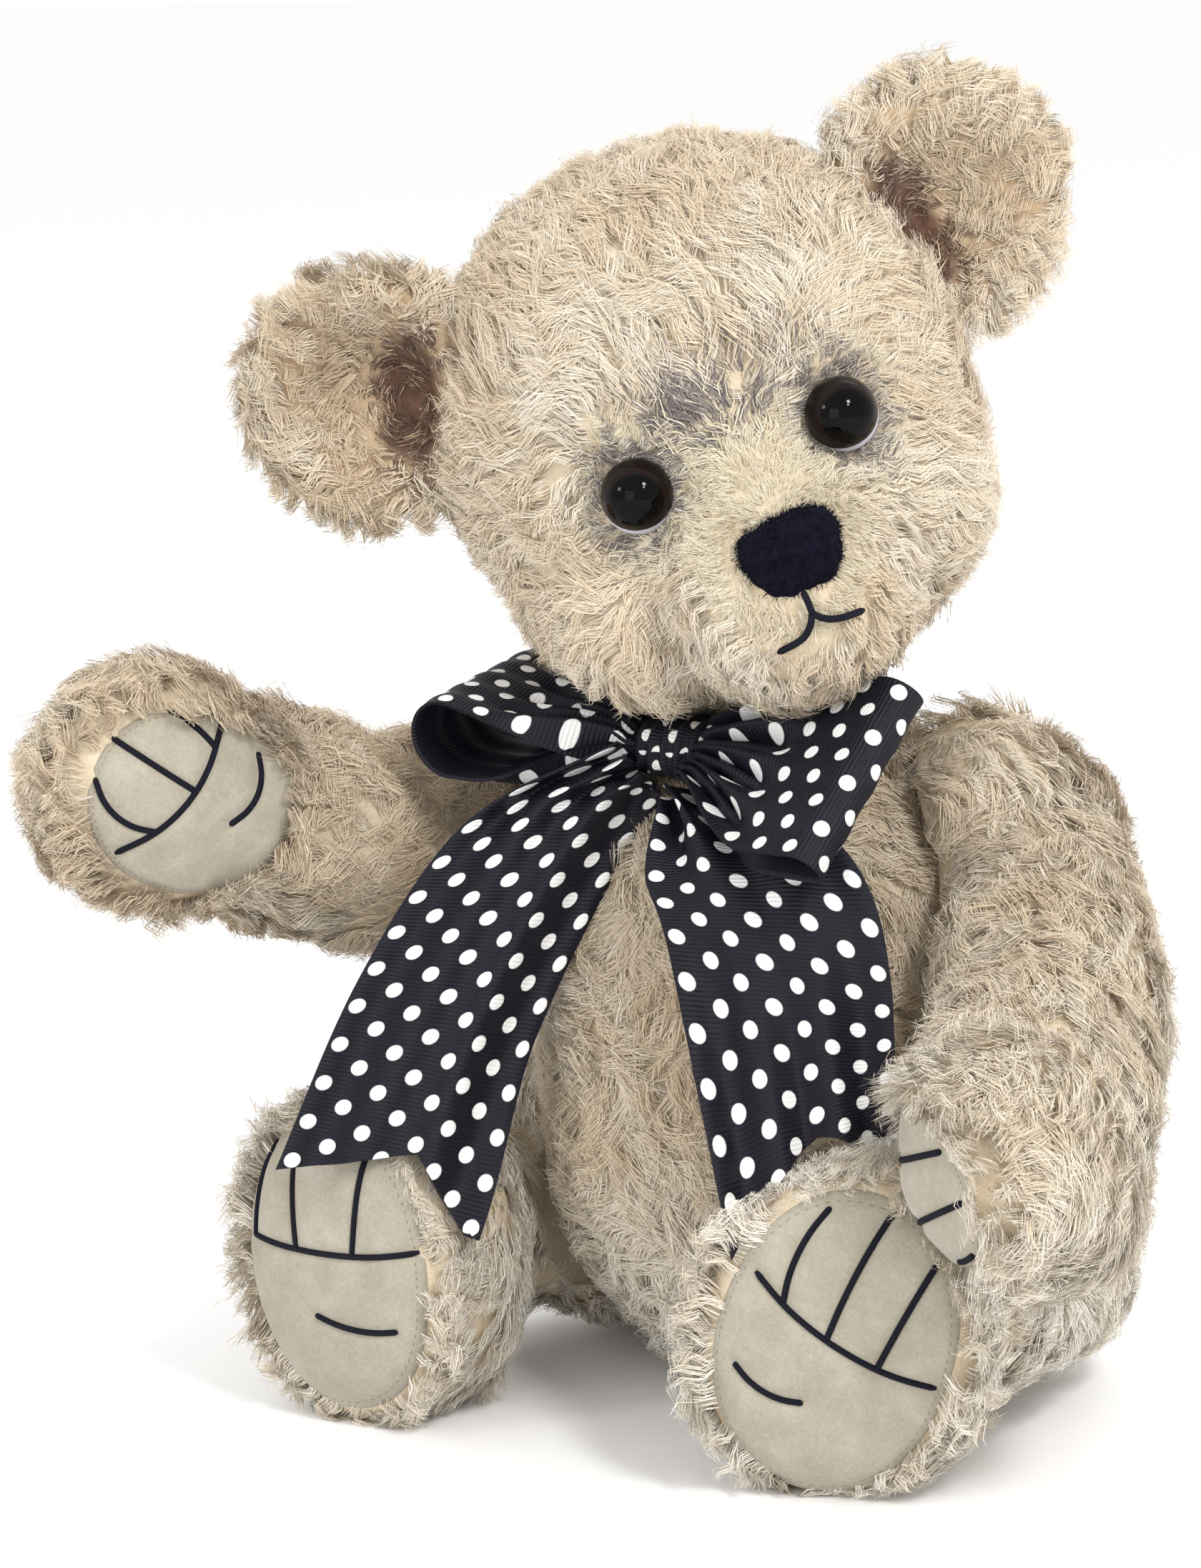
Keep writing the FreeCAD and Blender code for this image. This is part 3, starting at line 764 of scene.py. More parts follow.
def stitch_pad(name, body, face, place, outline, drawn):
    """Embroidery along the drawn lines and small stitches round the edge."""
    stitched = []
    for line in drawn:
        spots = [(x, face.drop(place, x, z), z) for x, z in line]
        stitched.append(place.out([(x, y - 0.1, z) for x, y, z in spots
                                   if y is not None]))
    seam = []
    for start in np.arange(0, 2 * math.pi, SEAM_STEP):
        dash = []
        for a in (start, start + SEAM_DASH):
            r = outline.radius(a) * SEAM_SHARE
            x = outline.centre[0] + r * math.cos(a)
            z = outline.centre[1] + r * math.sin(a)
            dash.append((x, face.drop(place, x, z) + 0.05, z))
        seam.append(place.out(dash))
    threads(name.replace("pad", "pad_seam"), seam, SEAM_R, SEAM, body)
    threads(name.replace("pad", "embroidery"), stitched, STITCH_R, THREAD,
            body, [name.replace("pad", "stitching")])


def arc(a, b, bow, steps=5):
    """Points of a shallow arc from a to b that bows to its left, mm."""
    a, b = np.array(a, float), np.array(b, float)
    left = np.array([a[1] - b[1], b[0] - a[0]]) / np.hypot(*(b - a))
    return [a + (b - a) * k + left * 4 * bow * k * (1 - k)
            for k in np.linspace(0, 1, steps)]


def pad_lines(cross, rising, crease):
    """Stitch lines of a pad: toes that rise from a crossing line, a crease."""
    whole = arc(*cross, steps=101)
    return [arc(whole[round(100 * share)], top, bow)
            for share, top, bow in rising] + [arc(*cross), arc(*crease)]


TOES = {
    -1: pad_lines(((-19.5, 6), (21.5, 5), -1.6),
                  [(0.02, (-13.5, 25), 0.8), (0.31, (-5.5, 26), 0.4),
                   (0.66, (11.5, 24.5), 0)],
                  ((-3.5, -8.5), (16, -10.5), -1.2)),
    1: pad_lines(((-20.5, 5.5), (17.5, -1.5), -3.3),
                 [(0.19, (-12, 22), 1.5), (0.45, (-1, 26), 0.6),
                  (0.72, (10, 22), 0.2)],
                 ((-18.5, -12.5), (-4, -14), -1.9))}
FINGERS = {
    -1: pad_lines(((16.5, -6.5), (-13.5, 5.5), 4.0),
                  [(0.15, (15.5, 7), -1.1), (0.42, (7.5, 13.5), 0),
                   (0.75, (-1, 13.5), 2.7)],
                  ((12.5, -15), (-2, -13.5), 2.9)),
    1: [arc((-2, -11), (-11.5, 6.5), 0.3), arc((9.5, -7.5), (-4, 12.5), 0),
        arc((12, 5), (7.5, 11.5), -0.3)]}
SOLE = {-1: Outline((22.4, 28.6), (0.0, 1.0)),
        1: Outline((21.8, 29.4), (-2.6, -2.3))}
PALM = {-1: Outline((17.6, 19.6), (-0.4, -5.4), (0.10, -1.0, 0.5)),
        1: Outline((15.5, 17.0), (-0.5, -2.0))}


# --------------------------------------------------------------------- fur
def wander(points, wave, seed, kinds=7):
    """Smooth random field of about -1..1 with that wavelength, mm."""
    rng = np.random.default_rng(seed)
    total = np.zeros(len(points))
    for _ in range(kinds):
        way = unit(rng.normal(size=3))
        total += np.sin(points @ way * 2 * math.pi
                        / (wave * rng.uniform(0.6, 1.6))
                        + rng.uniform(0, 2 * math.pi))
    return total / math.sqrt(kinds)


def tangent(v, n):
    """v without its part along the normal, unit length."""
    return unit(v - n * np.sum(v * n, 1, keepdims=True))


class Coat:
    """What the pile is like at many roots at once."""

    def __init__(self, p):
        count = len(p)
        self.keep = np.ones(count, bool)
        self.length = np.full(count, 14.5)
        self.height = np.full(count, 3.0)
        self.wave = np.full(count, 1.5)
        self.tone = 3.0 + 0.35 * wander(p, 30, 5) + 0.35 * wander(p, 9, 6)
        self.grey = np.zeros(count)
        self.dark = np.zeros(count)
        self.cream = np.zeros(count)
        self.lay = np.tile((0.0, 0.0, -1.0), (count, 1))
        self.swirl = 0.9

    def clip(self, share, length, height):
        """Move the pile by that share towards a length and a height."""
        self.length = self.length * (1 - share) + length * share
        self.height = self.height * (1 - share) + height * share


STEPS = np.array([0.0, 0.24, 0.48, 0.74, 1.0])
# painted light: roots lighter to lift the shade between the locks; tips a
# little lighter
STEP_TONE = np.array([0.5, 0.25, 0.0, 0.2])
STRAND_WIDTH = 0.21
PER_LOCK = 12
LOCKS_PER_MM2 = 0.215
STRAYS, STRAY_RISE = 0.04, 1.35
FLOOR_GAP = 0.3


def sample(obj, per_mm2, rng):
    """Random roots over a skin, with its smooth normals."""
    data = obj.data
    data.calc_loop_triangles()
    tri = np.zeros(len(data.loop_triangles) * 3, np.int32)
    data.loop_triangles.foreach_get("vertices", tri)
    tri = tri.reshape(-1, 3)
    p = get_points(obj)
    normals = np.zeros(len(data.vertices) * 3, np.float32)
    data.vertices.foreach_get("normal", normals)
    normals = normals.reshape(-1, 3)
    a, b, c = p[tri[:, 0]], p[tri[:, 1]], p[tri[:, 2]]
    area = np.linalg.norm(np.cross(b - a, c - a), axis=1) / 2
    count = int(area.sum() * per_mm2)
    pick = rng.choice(len(tri), count, p=area / area.sum())
    u, v = rng.random(count), rng.random(count)
    over = u + v > 1
    u[over], v[over] = 1 - u[over], 1 - v[over]
    w = 1 - u - v
    t = tri[pick]
    spot = p[t[:, 0]] * w[:, None] + p[t[:, 1]] * u[:, None] \
        + p[t[:, 2]] * v[:, None]
    way = normals[t[:, 0]] * w[:, None] + normals[t[:, 1]] * u[:, None] \
        + normals[t[:, 2]] * v[:, None]
    return spot, unit(way)


def strand_mesh(name, path, width, side, slots, mats):
    """Flat tapering strands: path (n, k, 3), slots (n, k - 1)."""
    n, k, _ = path.shape
    taper = np.array([0.9, 1.0, 0.95, 0.7])[:k - 1]
    half = side * (width[:, None] * taper)[:, :, None] / 2
    left, right = path[:, :-1] - half, path[:, :-1] + half
    verts = np.empty((n, 2 * (k - 1) + 1, 3))
    verts[:, 0:-1:2], verts[:, 1:-1:2] = left, right
    verts[:, -1] = path[:, -1]
    per = 2 * (k - 1) + 1
    loop = []
    for j in range(k - 2):
        loop += [2 * j, 2 * j + 1, 2 * j + 3, 2 * j + 2]
    loop += [2 * (k - 2), 2 * (k - 2) + 1, 2 * (k - 1)]
    loops = (np.arange(n)[:, None] * per + np.array(loop)).ravel()
    sizes = np.tile([4] * (k - 2) + [3], n)
    starts = np.concatenate([[0], np.cumsum(sizes)[:-1]])
    data = bpy.data.meshes.new(name)
    data.vertices.add(n * per)
    data.vertices.foreach_set("co", (verts * MM).astype(np.float32).ravel())
    data.loops.add(len(loops))
    data.loops.foreach_set("vertex_index", loops.astype(np.int32))
    data.polygons.add(len(sizes))
    data.polygons.foreach_set("loop_start", starts.astype(np.int32))
    data.polygons.foreach_set("loop_total", sizes.astype(np.int32))
    for mat in mats:
        data.materials.append(mat)
    data.polygons.foreach_set("material_index",
                              slots.astype(np.int32).ravel())
    data.update()
    data.shade_smooth()
    obj = bpy.data.objects.new(name, data)
    scene.collection.objects.link(obj)
    return obj


def strand_tints(field, lock, rng):
    """Tint number of each piece of each strand, from its root to its tip."""
    tone, many = field("tone"), len(lock)
    tone = (tone + rng.normal(0, 0.2, len(tone)))[lock] \
        + rng.normal(0, 0.25, many)
    tint = np.rint(np.clip(tone[:, None] + STEP_TONE, 0, LIGHTEST))
    roll = rng.random(many)[:, None]
    grey = np.rint(np.clip(GREY_DARK + 0.9 + STEP_TONE * 0.6
                           + rng.normal(0, 0.8, (many, 1)),
                           GREY_DARK, GREY_LIGHT))
    tint = np.where(roll < field("grey")[lock][:, None], grey, tint)
    tint = np.where(roll < field("cream")[lock][:, None], CREAM, tint)
    # painted shade: strands marked for it turn brown or the darkest tint
    dark = np.where(roll < 0.8, SHADE_BROWN, 0)
    return np.where(rng.random(many)[:, None]
                    < field("dark")[lock][:, None], dark, tint)


def grow(name, body, skins, describe, seed, density=1.0):
    """Pile of wavy locks over the skins, as one mesh on that body."""
    rng = np.random.default_rng(seed)
    thin = 1.0
    width = STRAND_WIDTH / math.sqrt(thin)
    p, n, coat = [], [], []
    for skin in skins:
        q, m = sample(skin, LOCKS_PER_MM2 * density * thin, rng)
        look = describe(skin.name, q)
        p.append(q[look.keep])
        n.append(m[look.keep])
        coat.append(look)

    def field(key):
        return np.concatenate([getattr(c, key)[c.keep] for c in coat])

    p, n = np.concatenate(p), np.concatenate(n)
    # the way the locks lie, turned by smooth random swirls
    swirl = np.concatenate([np.full(c.keep.sum(), c.swirl) for c in coat])
    length, height, wave = field("length"), field("height"), field("wave")
    lay = tangent(field("lay"), n)
    turn = swirl * (0.8 * wander(p, 34, seed + 1)
                    + 0.5 * wander(p, 15, seed + 2)
                    + 0.12 * rng.normal(size=len(p)))
    across = np.cross(n, lay)
    lay = lay * np.cos(turn)[:, None] + across * np.sin(turn)[:, None]
    across = np.cross(n, lay)
    phase = 0.9 * wander(p, 24, seed + 3) * math.pi \
        + rng.normal(0, 0.25, len(p))
    cycles = rng.uniform(0.95, 1.25, len(p))
    rise = height * (1 + 0.22 * wander(p, 7, seed + 4))
    run = length * rng.uniform(0.8, 1.15, len(p))

    # a lock's strands start near its root and stray a little from its wave
    many = len(p) * PER_LOCK
    lock = np.repeat(np.arange(len(p)), PER_LOCK)
    angle = rng.uniform(0, 2 * math.pi, many)
    off = np.sqrt(rng.random(many)) * rng.uniform(1.0, 1.9, many)
    ox, oy = off * np.cos(angle), off * np.sin(angle)
    run_s = run[lock] * rng.uniform(0.72, 1.12, many)
    rise_s = rise[lock] * rng.uniform(0.7, 1.15, many)
    phase_s = phase[lock] + rng.normal(0, 0.2, many)
    wave_s = wave[lock] * rng.uniform(0.8, 1.2, many)
    rise_s[rng.random(many) < STRAYS] *= STRAY_RISE
    path = np.empty((many, len(STEPS), 3))
    for j, s in enumerate(STEPS):
        gather = 1 - 0.6 * s
        swing = 2 * math.pi * cycles[lock] * s + phase_s
        forth = ox * gather + run_s * s * (1 - 0.18 * s)
        aside = oy * gather + wave_s * np.sin(swing) * min(1, s * 2.2)
        up = -0.5 + (rise_s + 0.5) * (1 - (1 - s) ** 2) \
            + 0.55 * wave_s * np.cos(swing + 0.8) * s \
            - (run_s * s) ** 2 / 95.0
        path[:, j] = p[lock] + lay[lock] * forth[:, None] \
            + across[lock] * aside[:, None] + n[lock] * up[:, None]
    path[..., 2] = np.maximum(path[..., 2], FLOOR_GAP)
    facing = unit(n[lock] + 0.25 * rng.normal(size=(many, 3)))
    step = np.diff(path, axis=1)
    side = unit(np.cross(step, facing[:, None, :]))
    tints = strand_tints(field, lock, rng)
    wide = width * rng.uniform(0.75, 1.25, many)
    wide *= np.clip(length[lock] / 7.0, 0.55, 1.0)
    obj = strand_mesh(name, path, wide, side, tints, PILE)
    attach(obj, body)


JOINT_FACE = 0.8         # bare cloth where a limb lies on the torso


def torso_coat(_, p):
    coat = Coat(p)
    # painted light and shade: the pile is darker up under the head and lighter
    # towards the bottom
    coat.tone += -1.1 + 2.2 * (1 - ease(p[:, 2], 12, 65))
    for s in (-1, 1):
        for joint in (SHOULDER[s], HIP[s]):
            coat.keep &= np.abs(joint.local(p)[:, 0]) >= JOINT_FACE
    neck = (np.hypot(p[:, 0], p[:, 1]) < 21) & (p[:, 2] > 100)
    coat.keep &= (p[:, 2] > 1.0) & ((p[:, 2] < 127) | neck)
    low = 1 - ease(p[:, 2], 0, 12)
    coat.height *= 1 - 0.75 * low
    coat.length *= 1 - 0.5 * low
    coat.height = np.where(neck, 6.5, coat.height)
    coat.length = np.where(neck, 6.0, coat.length)
    coat.wave *= 1.25
    coat.lay = np.stack([p[:, 0] * 0.012, np.full(len(p), -0.15),
                         -np.ones(len(p))], 1)
    return coat


def head_coat(name, p):
    coat = Coat(p)
    q = HEAD.local(p)
    if name.startswith("ear"):
        return ear_coat(coat, name, p, q)
    x, y, z = q.T
    x = x - FACE_X
    face = ease(-y, 25, 42)
    coat.lay = HEAD.vec(q - MUZZLE) + np.array([0, 0, -6.0])
    # painted shade: the head's pile is toned down, less on the face, to offset
    # the light from above
    coat.tone += -1.1 + 0.6 * face
    trim = face * np.exp(-((x / 14) ** 2 + ((z - 46) / 12) ** 2) ** 2)
    snout = face * np.exp(-((x / 22) ** 2 + ((z - 32) / 20) ** 2) ** 2)
    coat.length = 14.5 - 6.5 * snout
    coat.height = 3.4 - 0.9 * snout
    coat.clip(trim, 3.0, 1.3)
    coat.cream = np.clip(trim * 0.95, 0, 1)
    near = 1e9
    for s in (-1, 1):
        centre = eye_at(s)
        d = np.linalg.norm(q - centre, axis=1)
        near = np.minimum(near, d)
        # grey round each eye: the bear's own grey shading, with painted shade
        # of the eye sockets
        inner = ease(-(q[:, 0] - centre[0]) * s, -9, 4)
        ring = (1 - ease(d, 9.0, 13)) * (0.45 + 0.55 * inner)
        coat.grey = np.maximum(coat.grey, ring)
    brow = np.exp(-(((x + 4) / 15.5) ** 2 + ((z - 59.5) / 7.5) ** 2)) * face
    # painted shade: grey under the chin
    chin_shade = 0.5 * face * (1 - ease(z, 5, 19))
    coat.grey = np.maximum(coat.grey, np.maximum(0.96 * brow, chin_shade))
    coat.clip(1 - ease(near, 8, 15), 3.6, 1.6)
    coat.keep &= near > 7.0
    nose = np.hypot((x - NOSE_X) / 10.4, (z - 37.6) / 8.0)
    coat.keep &= ~((nose < 1.0) & (y < -50))
    coat.clip((1 - ease(nose, 1.0, 1.6)) * face, 2.6, 1.2)
    lip = np.abs(z - 26.5 + 0.6 * np.minimum(np.abs(x), 8)) \
        + np.maximum(np.abs(x) - 9, 0)
    by_mouth = (1 - ease(lip, 1.0, 3.5)) * face * (z < 33)
    coat.length = coat.length * (1 - 0.65 * by_mouth)
    coat.height = coat.height * (1 - 0.6 * by_mouth)
    coat.wave = 1.5 * np.clip(coat.length / 12, 0.2, 1)
    # painted shade: darker pile towards the underside of the head
    coat.tone -= 1.3 * (1 - ease(z, 6, 22))
    coat.keep &= z > 1.5
    for s in (-1, 1):
        e = ear_place(s).local(p)
        coat.keep &= ~((np.hypot(e[:, 0], e[:, 2]) < 21)
                       & (np.abs(e[:, 1]) < 5))
    coat.swirl = 0.75
    return coat


def plush_coat(_, p):
    """Clipped, dense pile of the muzzle and round the eyes."""
    coat = Coat(p)
    q = HEAD.local(p)
    x, y, z = q.T
    x = x - FACE_X
    near = np.minimum(*[np.linalg.norm(q - eye_at(s), axis=1)
                        for s in (-1, 1)])
    clipped = np.hypot(x / 17, (z - 42) / 17) < 1
    coat.keep = (y < -25) & (clipped | (near < 15)) & (near > 6.6)
    nose_gap = np.hypot((x - NOSE_X) / 9.0, (z - 37.8) / 7.0)
    coat.keep &= (nose_gap > 1.0) | (y > -50)
    coat.length[:], coat.height[:], coat.wave[:] = 2.6, 1.5, 0.1
    coat.tone += 0.4
    # grey round each eye: the bear's own grey shading, with painted shade of
    # the eye sockets
    ring = 1 - ease(near, 8.0, 14)
    patch = np.exp(-(((x + 3) / 13) ** 2 + ((z - 59.5) / 6.5) ** 2))
    coat.grey = np.maximum(0.8 * ring, 0.9 * patch)
    coat.cream = np.where(near > 12, 0.75, 0.1)
    coat.lay = HEAD.vec(q - MUZZLE)
    coat.swirl = 1.4
    return coat


def ear_coat(coat, name, p, q):
    s = 1 if "left" in name else -1
    e = ear_place(s).local(p)
    front = e[:, 1] < 1.5
    shade_well = ear_shade_well(s, q)
    coat.tone -= 0.9
    shaded_bowl = front * (1 - ease(np.hypot(e[:, 0], e[:, 2]), 9, 16))
    # painted shade: darker pile in the ear's bowl
    coat.tone -= 0.9 * shaded_bowl
    coat.length, coat.height = 11.0 - 4.0 * shaded_bowl, 3.6 - 1.4 * shaded_bowl
    coat.clip(shade_well, 4.5, 1.2)
    coat.wave *= 1.2
    # painted shade: brown strands in the hollow beside the skull
    coat.dark = shade_well
    root = to_skull(s) * 9.0
    coat.lay = ear_place(s).vec(np.stack(
        [e[:, 0] - root[0], np.where(front, -3.0, 2.0),
         e[:, 2] - root[1]], 1))
    skull = np.linalg.norm((q - np.array([0, 2, 54]))
                           / np.array([49.0, 49.0, 46.5]), axis=1)
    coat.keep &= skull > 1.0
    coat.swirl = 0.8
    return coat


def arm_coat(name, p):
    s = 1 if "left" in name else -1
    coat = Coat(p)
    q = SHOULDER[s].local(p)
    coat.keep &= np.abs(q[:, 0]) > 1.2
    along = unit(flip(PAW[s][0], s) - flip(ELBOW[0], s))
    coat.lay = np.tile(SHOULDER[s].vec(along), (len(p), 1)) \
        + np.array([0, 0, -0.35])
    pad = paw_place(s).local(p)
    inside = PALM[s].ratio(pad[:, 0], pad[:, 2])
    front = pad[:, 1] < -4
    coat.keep &= ~(front & (inside < 0.95))
    edge = front * (1 - ease(inside, 1.0, 1.5))
    out = paw_place(s).vec(np.stack(
        [pad[:, 0] - PALM[s].centre[0], np.full(len(p), -6.0),
         pad[:, 2] - PALM[s].centre[1]], 1))
    turned = 0.45 * edge[:, None]
    coat.lay = unit(coat.lay) * (1 - turned) + unit(out) * turned
    coat.length = coat.length * (1 - 0.5 * edge)
    coat.height += 2.5 * edge
    # painted light and shade: the bear's right arm is darker, the left arm
    # lighter and darker towards its top
    coat.tone += -1.3 if s < 0 else 0.6 - 1.5 * ease(p[:, 2], 55, 105)
    coat.wave *= 1.35
    near_torso = 1 - ease(np.abs(q[:, 0]), 1, 9)
    coat.height *= (1.25 if s > 0 else 1.1) * (1 - 0.6 * near_torso)
    return coat


def leg_coat(name, p):
    s = 1 if "left" in name else -1
    coat = Coat(p)
    q = HIP[s].local(p)
    coat.keep &= (np.abs(q[:, 0]) > 1.2) | (q[:, 1] < -36)
    coat.keep &= p[:, 2] > 1.2
    foot = FOOT[s].local(p)
    inside = SOLE[s].ratio(foot[:, 0], foot[:, 2])
    front = foot[:, 1] < -6
    coat.keep &= ~(front & (inside < 0.95))
    edge = ease(-foot[:, 1], 2, 14)
    out = FOOT[s].vec(np.stack([foot[:, 0], np.full(len(p), -14.0),
                                foot[:, 2]], 1))
    coat.lay = np.tile(HIP[s].vec((0, -1, 0)), (len(p), 1)) \
        + np.array([0, 0, -0.45])
    coat.lay = coat.lay * (1 - edge[:, None]) + unit(out) * edge[:, None]
    low = 1 - ease(p[:, 2], 0, 14)
    coat.height *= 1 - 0.75 * low
    rim = front * (1 - ease(inside, 1.0, 1.35)) * (1 - low)
    coat.height += 2.6 * rim
    coat.length *= 1 - 0.25 * rim
    coat.length *= 1 - 0.45 * np.maximum(low, edge * 0.55)
    near_torso = (1 - ease(s * q[:, 0], 1, 9)) * (1 - ease(-q[:, 1], 30, 45))
    coat.height *= 1 - 0.6 * near_torso
    # the bow's tails lie on the tops of the feet and press the pile flat
    pressed = (1 - ease(np.abs(p[:, 0] + 40), 15, 23)) \
        * ease(p[:, 2], 34, 46) * ease(-p[:, 1], 44, 56)
    if s > 0:
        pressed = 0.8 * ease(-foot[:, 0], 0, 10) * ease(foot[:, 2], 10, 20)
    coat.height *= 1 - 0.85 * pressed
    coat.length *= 1 - 0.6 * pressed
    # painted light: the legs' pile is lighter; painted shade: darker towards
    # the foot's front near the pad
    coat.tone += (1.0 if s > 0 else 0.6) - 0.5 * edge
    coat.wave *= 1.15
    return coat


TORSO_SKIN = torso_skin()
HEAD_SKIN = head_skin()
EARS = [ear_skin(s) for s in (-1, 1)]
ARM_SKINS = {s: arm_skin(s) for s in (-1, 1)}
LEG_SKINS = {s: leg_skin(s) for s in (-1, 1)}
grow("torso_pile", "torso", [TORSO_SKIN], torso_coat, 11)
grow("head_pile", "head", [HEAD_SKIN], head_coat, 12, 1.15)
grow("face_plush", "head", [HEAD_SKIN], plush_coat, 14, 3.2)
grow("ear_pile", "head", EARS, head_coat, 13, 1.1)
for s in (-1, 1):
    arm, leg = "arm_" + SIDE[s], "leg_" + SIDE[s]
    grow(arm + "_pile", arm, [ARM_SKINS[s]], arm_coat, 20 + s)
    grow(leg + "_pile", leg, [LEG_SKINS[s]], leg_coat, 30 + s)
    suede_pad(arm + "_pad", arm, ARM_SKINS[s], paw_place(s), PALM[s],
              FINGERS[s])
    suede_pad(leg + "_pad", leg, LEG_SKINS[s], FOOT[s], SOLE[s], TOES[s])


# -------------------------------------------------------------------- face
def eye(s):
    verts = SOFT_BALL * EYE_R
    gaze = unit(np.array([s * 0.12, -1.0, 0.02]))
    obj = mesh_object("eye_%s_glass" % SIDE[s],
                      HEAD.out(verts + eye_at(s)), SOFT_FACES, [GLASS])
    spread = np.arccos(np.clip(unit(verts) @ gaze, -1, 1)) / (math.pi / 2)
    data = obj.data.attributes.new("iris", "FLOAT", "POINT")
    data.data.foreach_set("value", np.clip(spread, 0, 1).astype(np.float32))
    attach(obj, "head")
    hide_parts("eye_" + SIDE[s])
    behind = np.array([0.05 * s, 0.9, -0.75])
    rim = mesh_object("eye_%s_rim" % SIDE[s],
                      HEAD.out(SOFT_BALL * EYE_WHITE_R + eye_at(s) + behind),
                      SOFT_FACES, [EYE_WHITE])
    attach(rim, "head")


def nose():
    """Felted pad: a soft trapezoid, wider at the top."""
    power = 2.9
    grow_by = np.sum(np.abs(SOFT_BALL) ** power, 1) ** (-1 / power)
    p = SOFT_BALL * grow_by[:, None]
    p[:, 0] *= 9.3 * (1 + 0.16 * p[:, 2])
    p[:, 1:] *= 7.5
    p += 0.22 * (unit(p) * wander(p, 4.0, 77)[:, None])
    p += np.array([FACE_X + NOSE_X, -63.4, 38.0])
    obj = mesh_object("nose_felt", HEAD.out(p), SOFT_FACES, [FELT])
    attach(obj, "head")
    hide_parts("nose")
    rng = np.random.default_rng(78)
    root, way = sample(obj, 5.0, rng)
    front = HEAD.local(root)[:, 1] < -60
    root, way = root[front], way[front]
    lean = unit(rng.normal(size=root.shape))
    k = np.array([0.0, 0.5, 1.0])
    path = root[:, None] + way[:, None] * (k * 0.8 - 0.1)[None, :, None] \
        + lean[:, None] * (k ** 1.5 * 0.9)[None, :, None]
    side = unit(np.cross(np.diff(path, axis=1), way[:, None]))
    fuzz = strand_mesh("nose_fuzz", path, np.full(len(root), 0.14), side,
                       np.zeros((len(root), 2)), [FELT])
    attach(fuzz, "head")


def mouth():
    surface = Surface(HEAD_SKIN)
    lines = []
    for line in ([(0, 33.0), (0.1, 30.5), (0, 28.4)],
                 [(0, 28.6), (-1.3, 26.4), (-3.6, 24.6), (-8.4, 23.6)],
                 [(0, 28.6), (1.6, 26.8), (4.4, 25.4), (9.0, 24.5)]):
        spots = []
        for x, z in smooth_line(line, 8):
            y = surface.drop(HEAD, x + FACE_X, z, -90.0)
            spots.append((x + FACE_X, y - 2.3, z))
        lines.append(HEAD.out(spots))
    threads("mouth_thread", lines, 0.66, THREAD, "head",
            ["mouth_stitching"])


for s in (-1, 1):
    eye(s)
nose()
mouth()


# ------------------------------------------------------------------ ribbon
RIBBON_W, CLOTH_T = 44.0, 0.7
TAIL_WIDEN, TAIL_PLEATS = 1.08, 6
KNOT_SHARE = 0.62        # how much of the ribbon's width the knot shows
COLLAR_RUN, COLLAR_Z = 155.0, 129.6


def band(name, rows, u, v, replaces=()):
    """Ribbon slab: rows (n, m, 3) of its dotted face, texture u (n, m), v."""
    n, m, _ = rows.shape
    along = np.gradient(rows, axis=0)
    across = np.gradient(rows, axis=1)
    normal = unit(np.cross(along, across))
    back = rows - normal * CLOTH_T
    verts = np.concatenate([rows.reshape(-1, 3), back.reshape(-1, 3)])
    faces, slots, count = [], [], n * m
    for i in range(n - 1):
        for j in range(m - 1):
            a = i * m + j
            quad = (a, a + m, a + m + 1, a + 1)
            faces.append(quad)
            slots.append(0)
            faces.append(tuple(k + count for k in quad[::-1]))
            slots.append(1)
    rim = [(i * m, (i + 1) * m) for i in range(n - 1)]
    rim += [((n - 1) * m + j, (n - 1) * m + j + 1) for j in range(m - 1)]
    rim += [((i + 1) * m + m - 1, i * m + m - 1) for i in range(n - 2, -1, -1)]
    rim += [(j + 1, j) for j in range(m - 2, -1, -1)]
    for a, b in rim:
        faces.append((b, a, a + count, b + count))
        slots.append(1)
    obj = mesh_object(name, verts, faces, [FACE, BACK])
    obj.data.polygons.foreach_set("material_index", slots)
    bm = bmesh.new()
    bm.from_mesh(obj.data)
    for edge in bm.edges:
        kinds = {f.material_index for f in edge.link_faces}
        edge.smooth = len(kinds) == 1
    bm.to_mesh(obj.data)
    bm.free()
    data = obj.data.attributes.new("ribbon", "FLOAT_VECTOR", "POINT")
    uv = np.stack([u, v, np.zeros_like(u)], -1).reshape(-1, 3)
    data.data.foreach_set("vector", np.concatenate([uv, uv])
                          .astype(np.float32).ravel())
    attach(obj, "torso")
    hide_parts(*replaces)
    return obj


def slack(half):
    """Cloth to spare where the ribbon is gathered to that half width."""
    return np.sqrt(np.maximum(RIBBON_W ** 2 - (2 * half) ** 2, 0))


def spline(values, steps):
    """Catmull-Rom through rows of values, evenly in parameter."""
    values = np.asarray(values, float)
    per = max(2, steps // (len(values) - 1))
    return smooth_line(values, per)


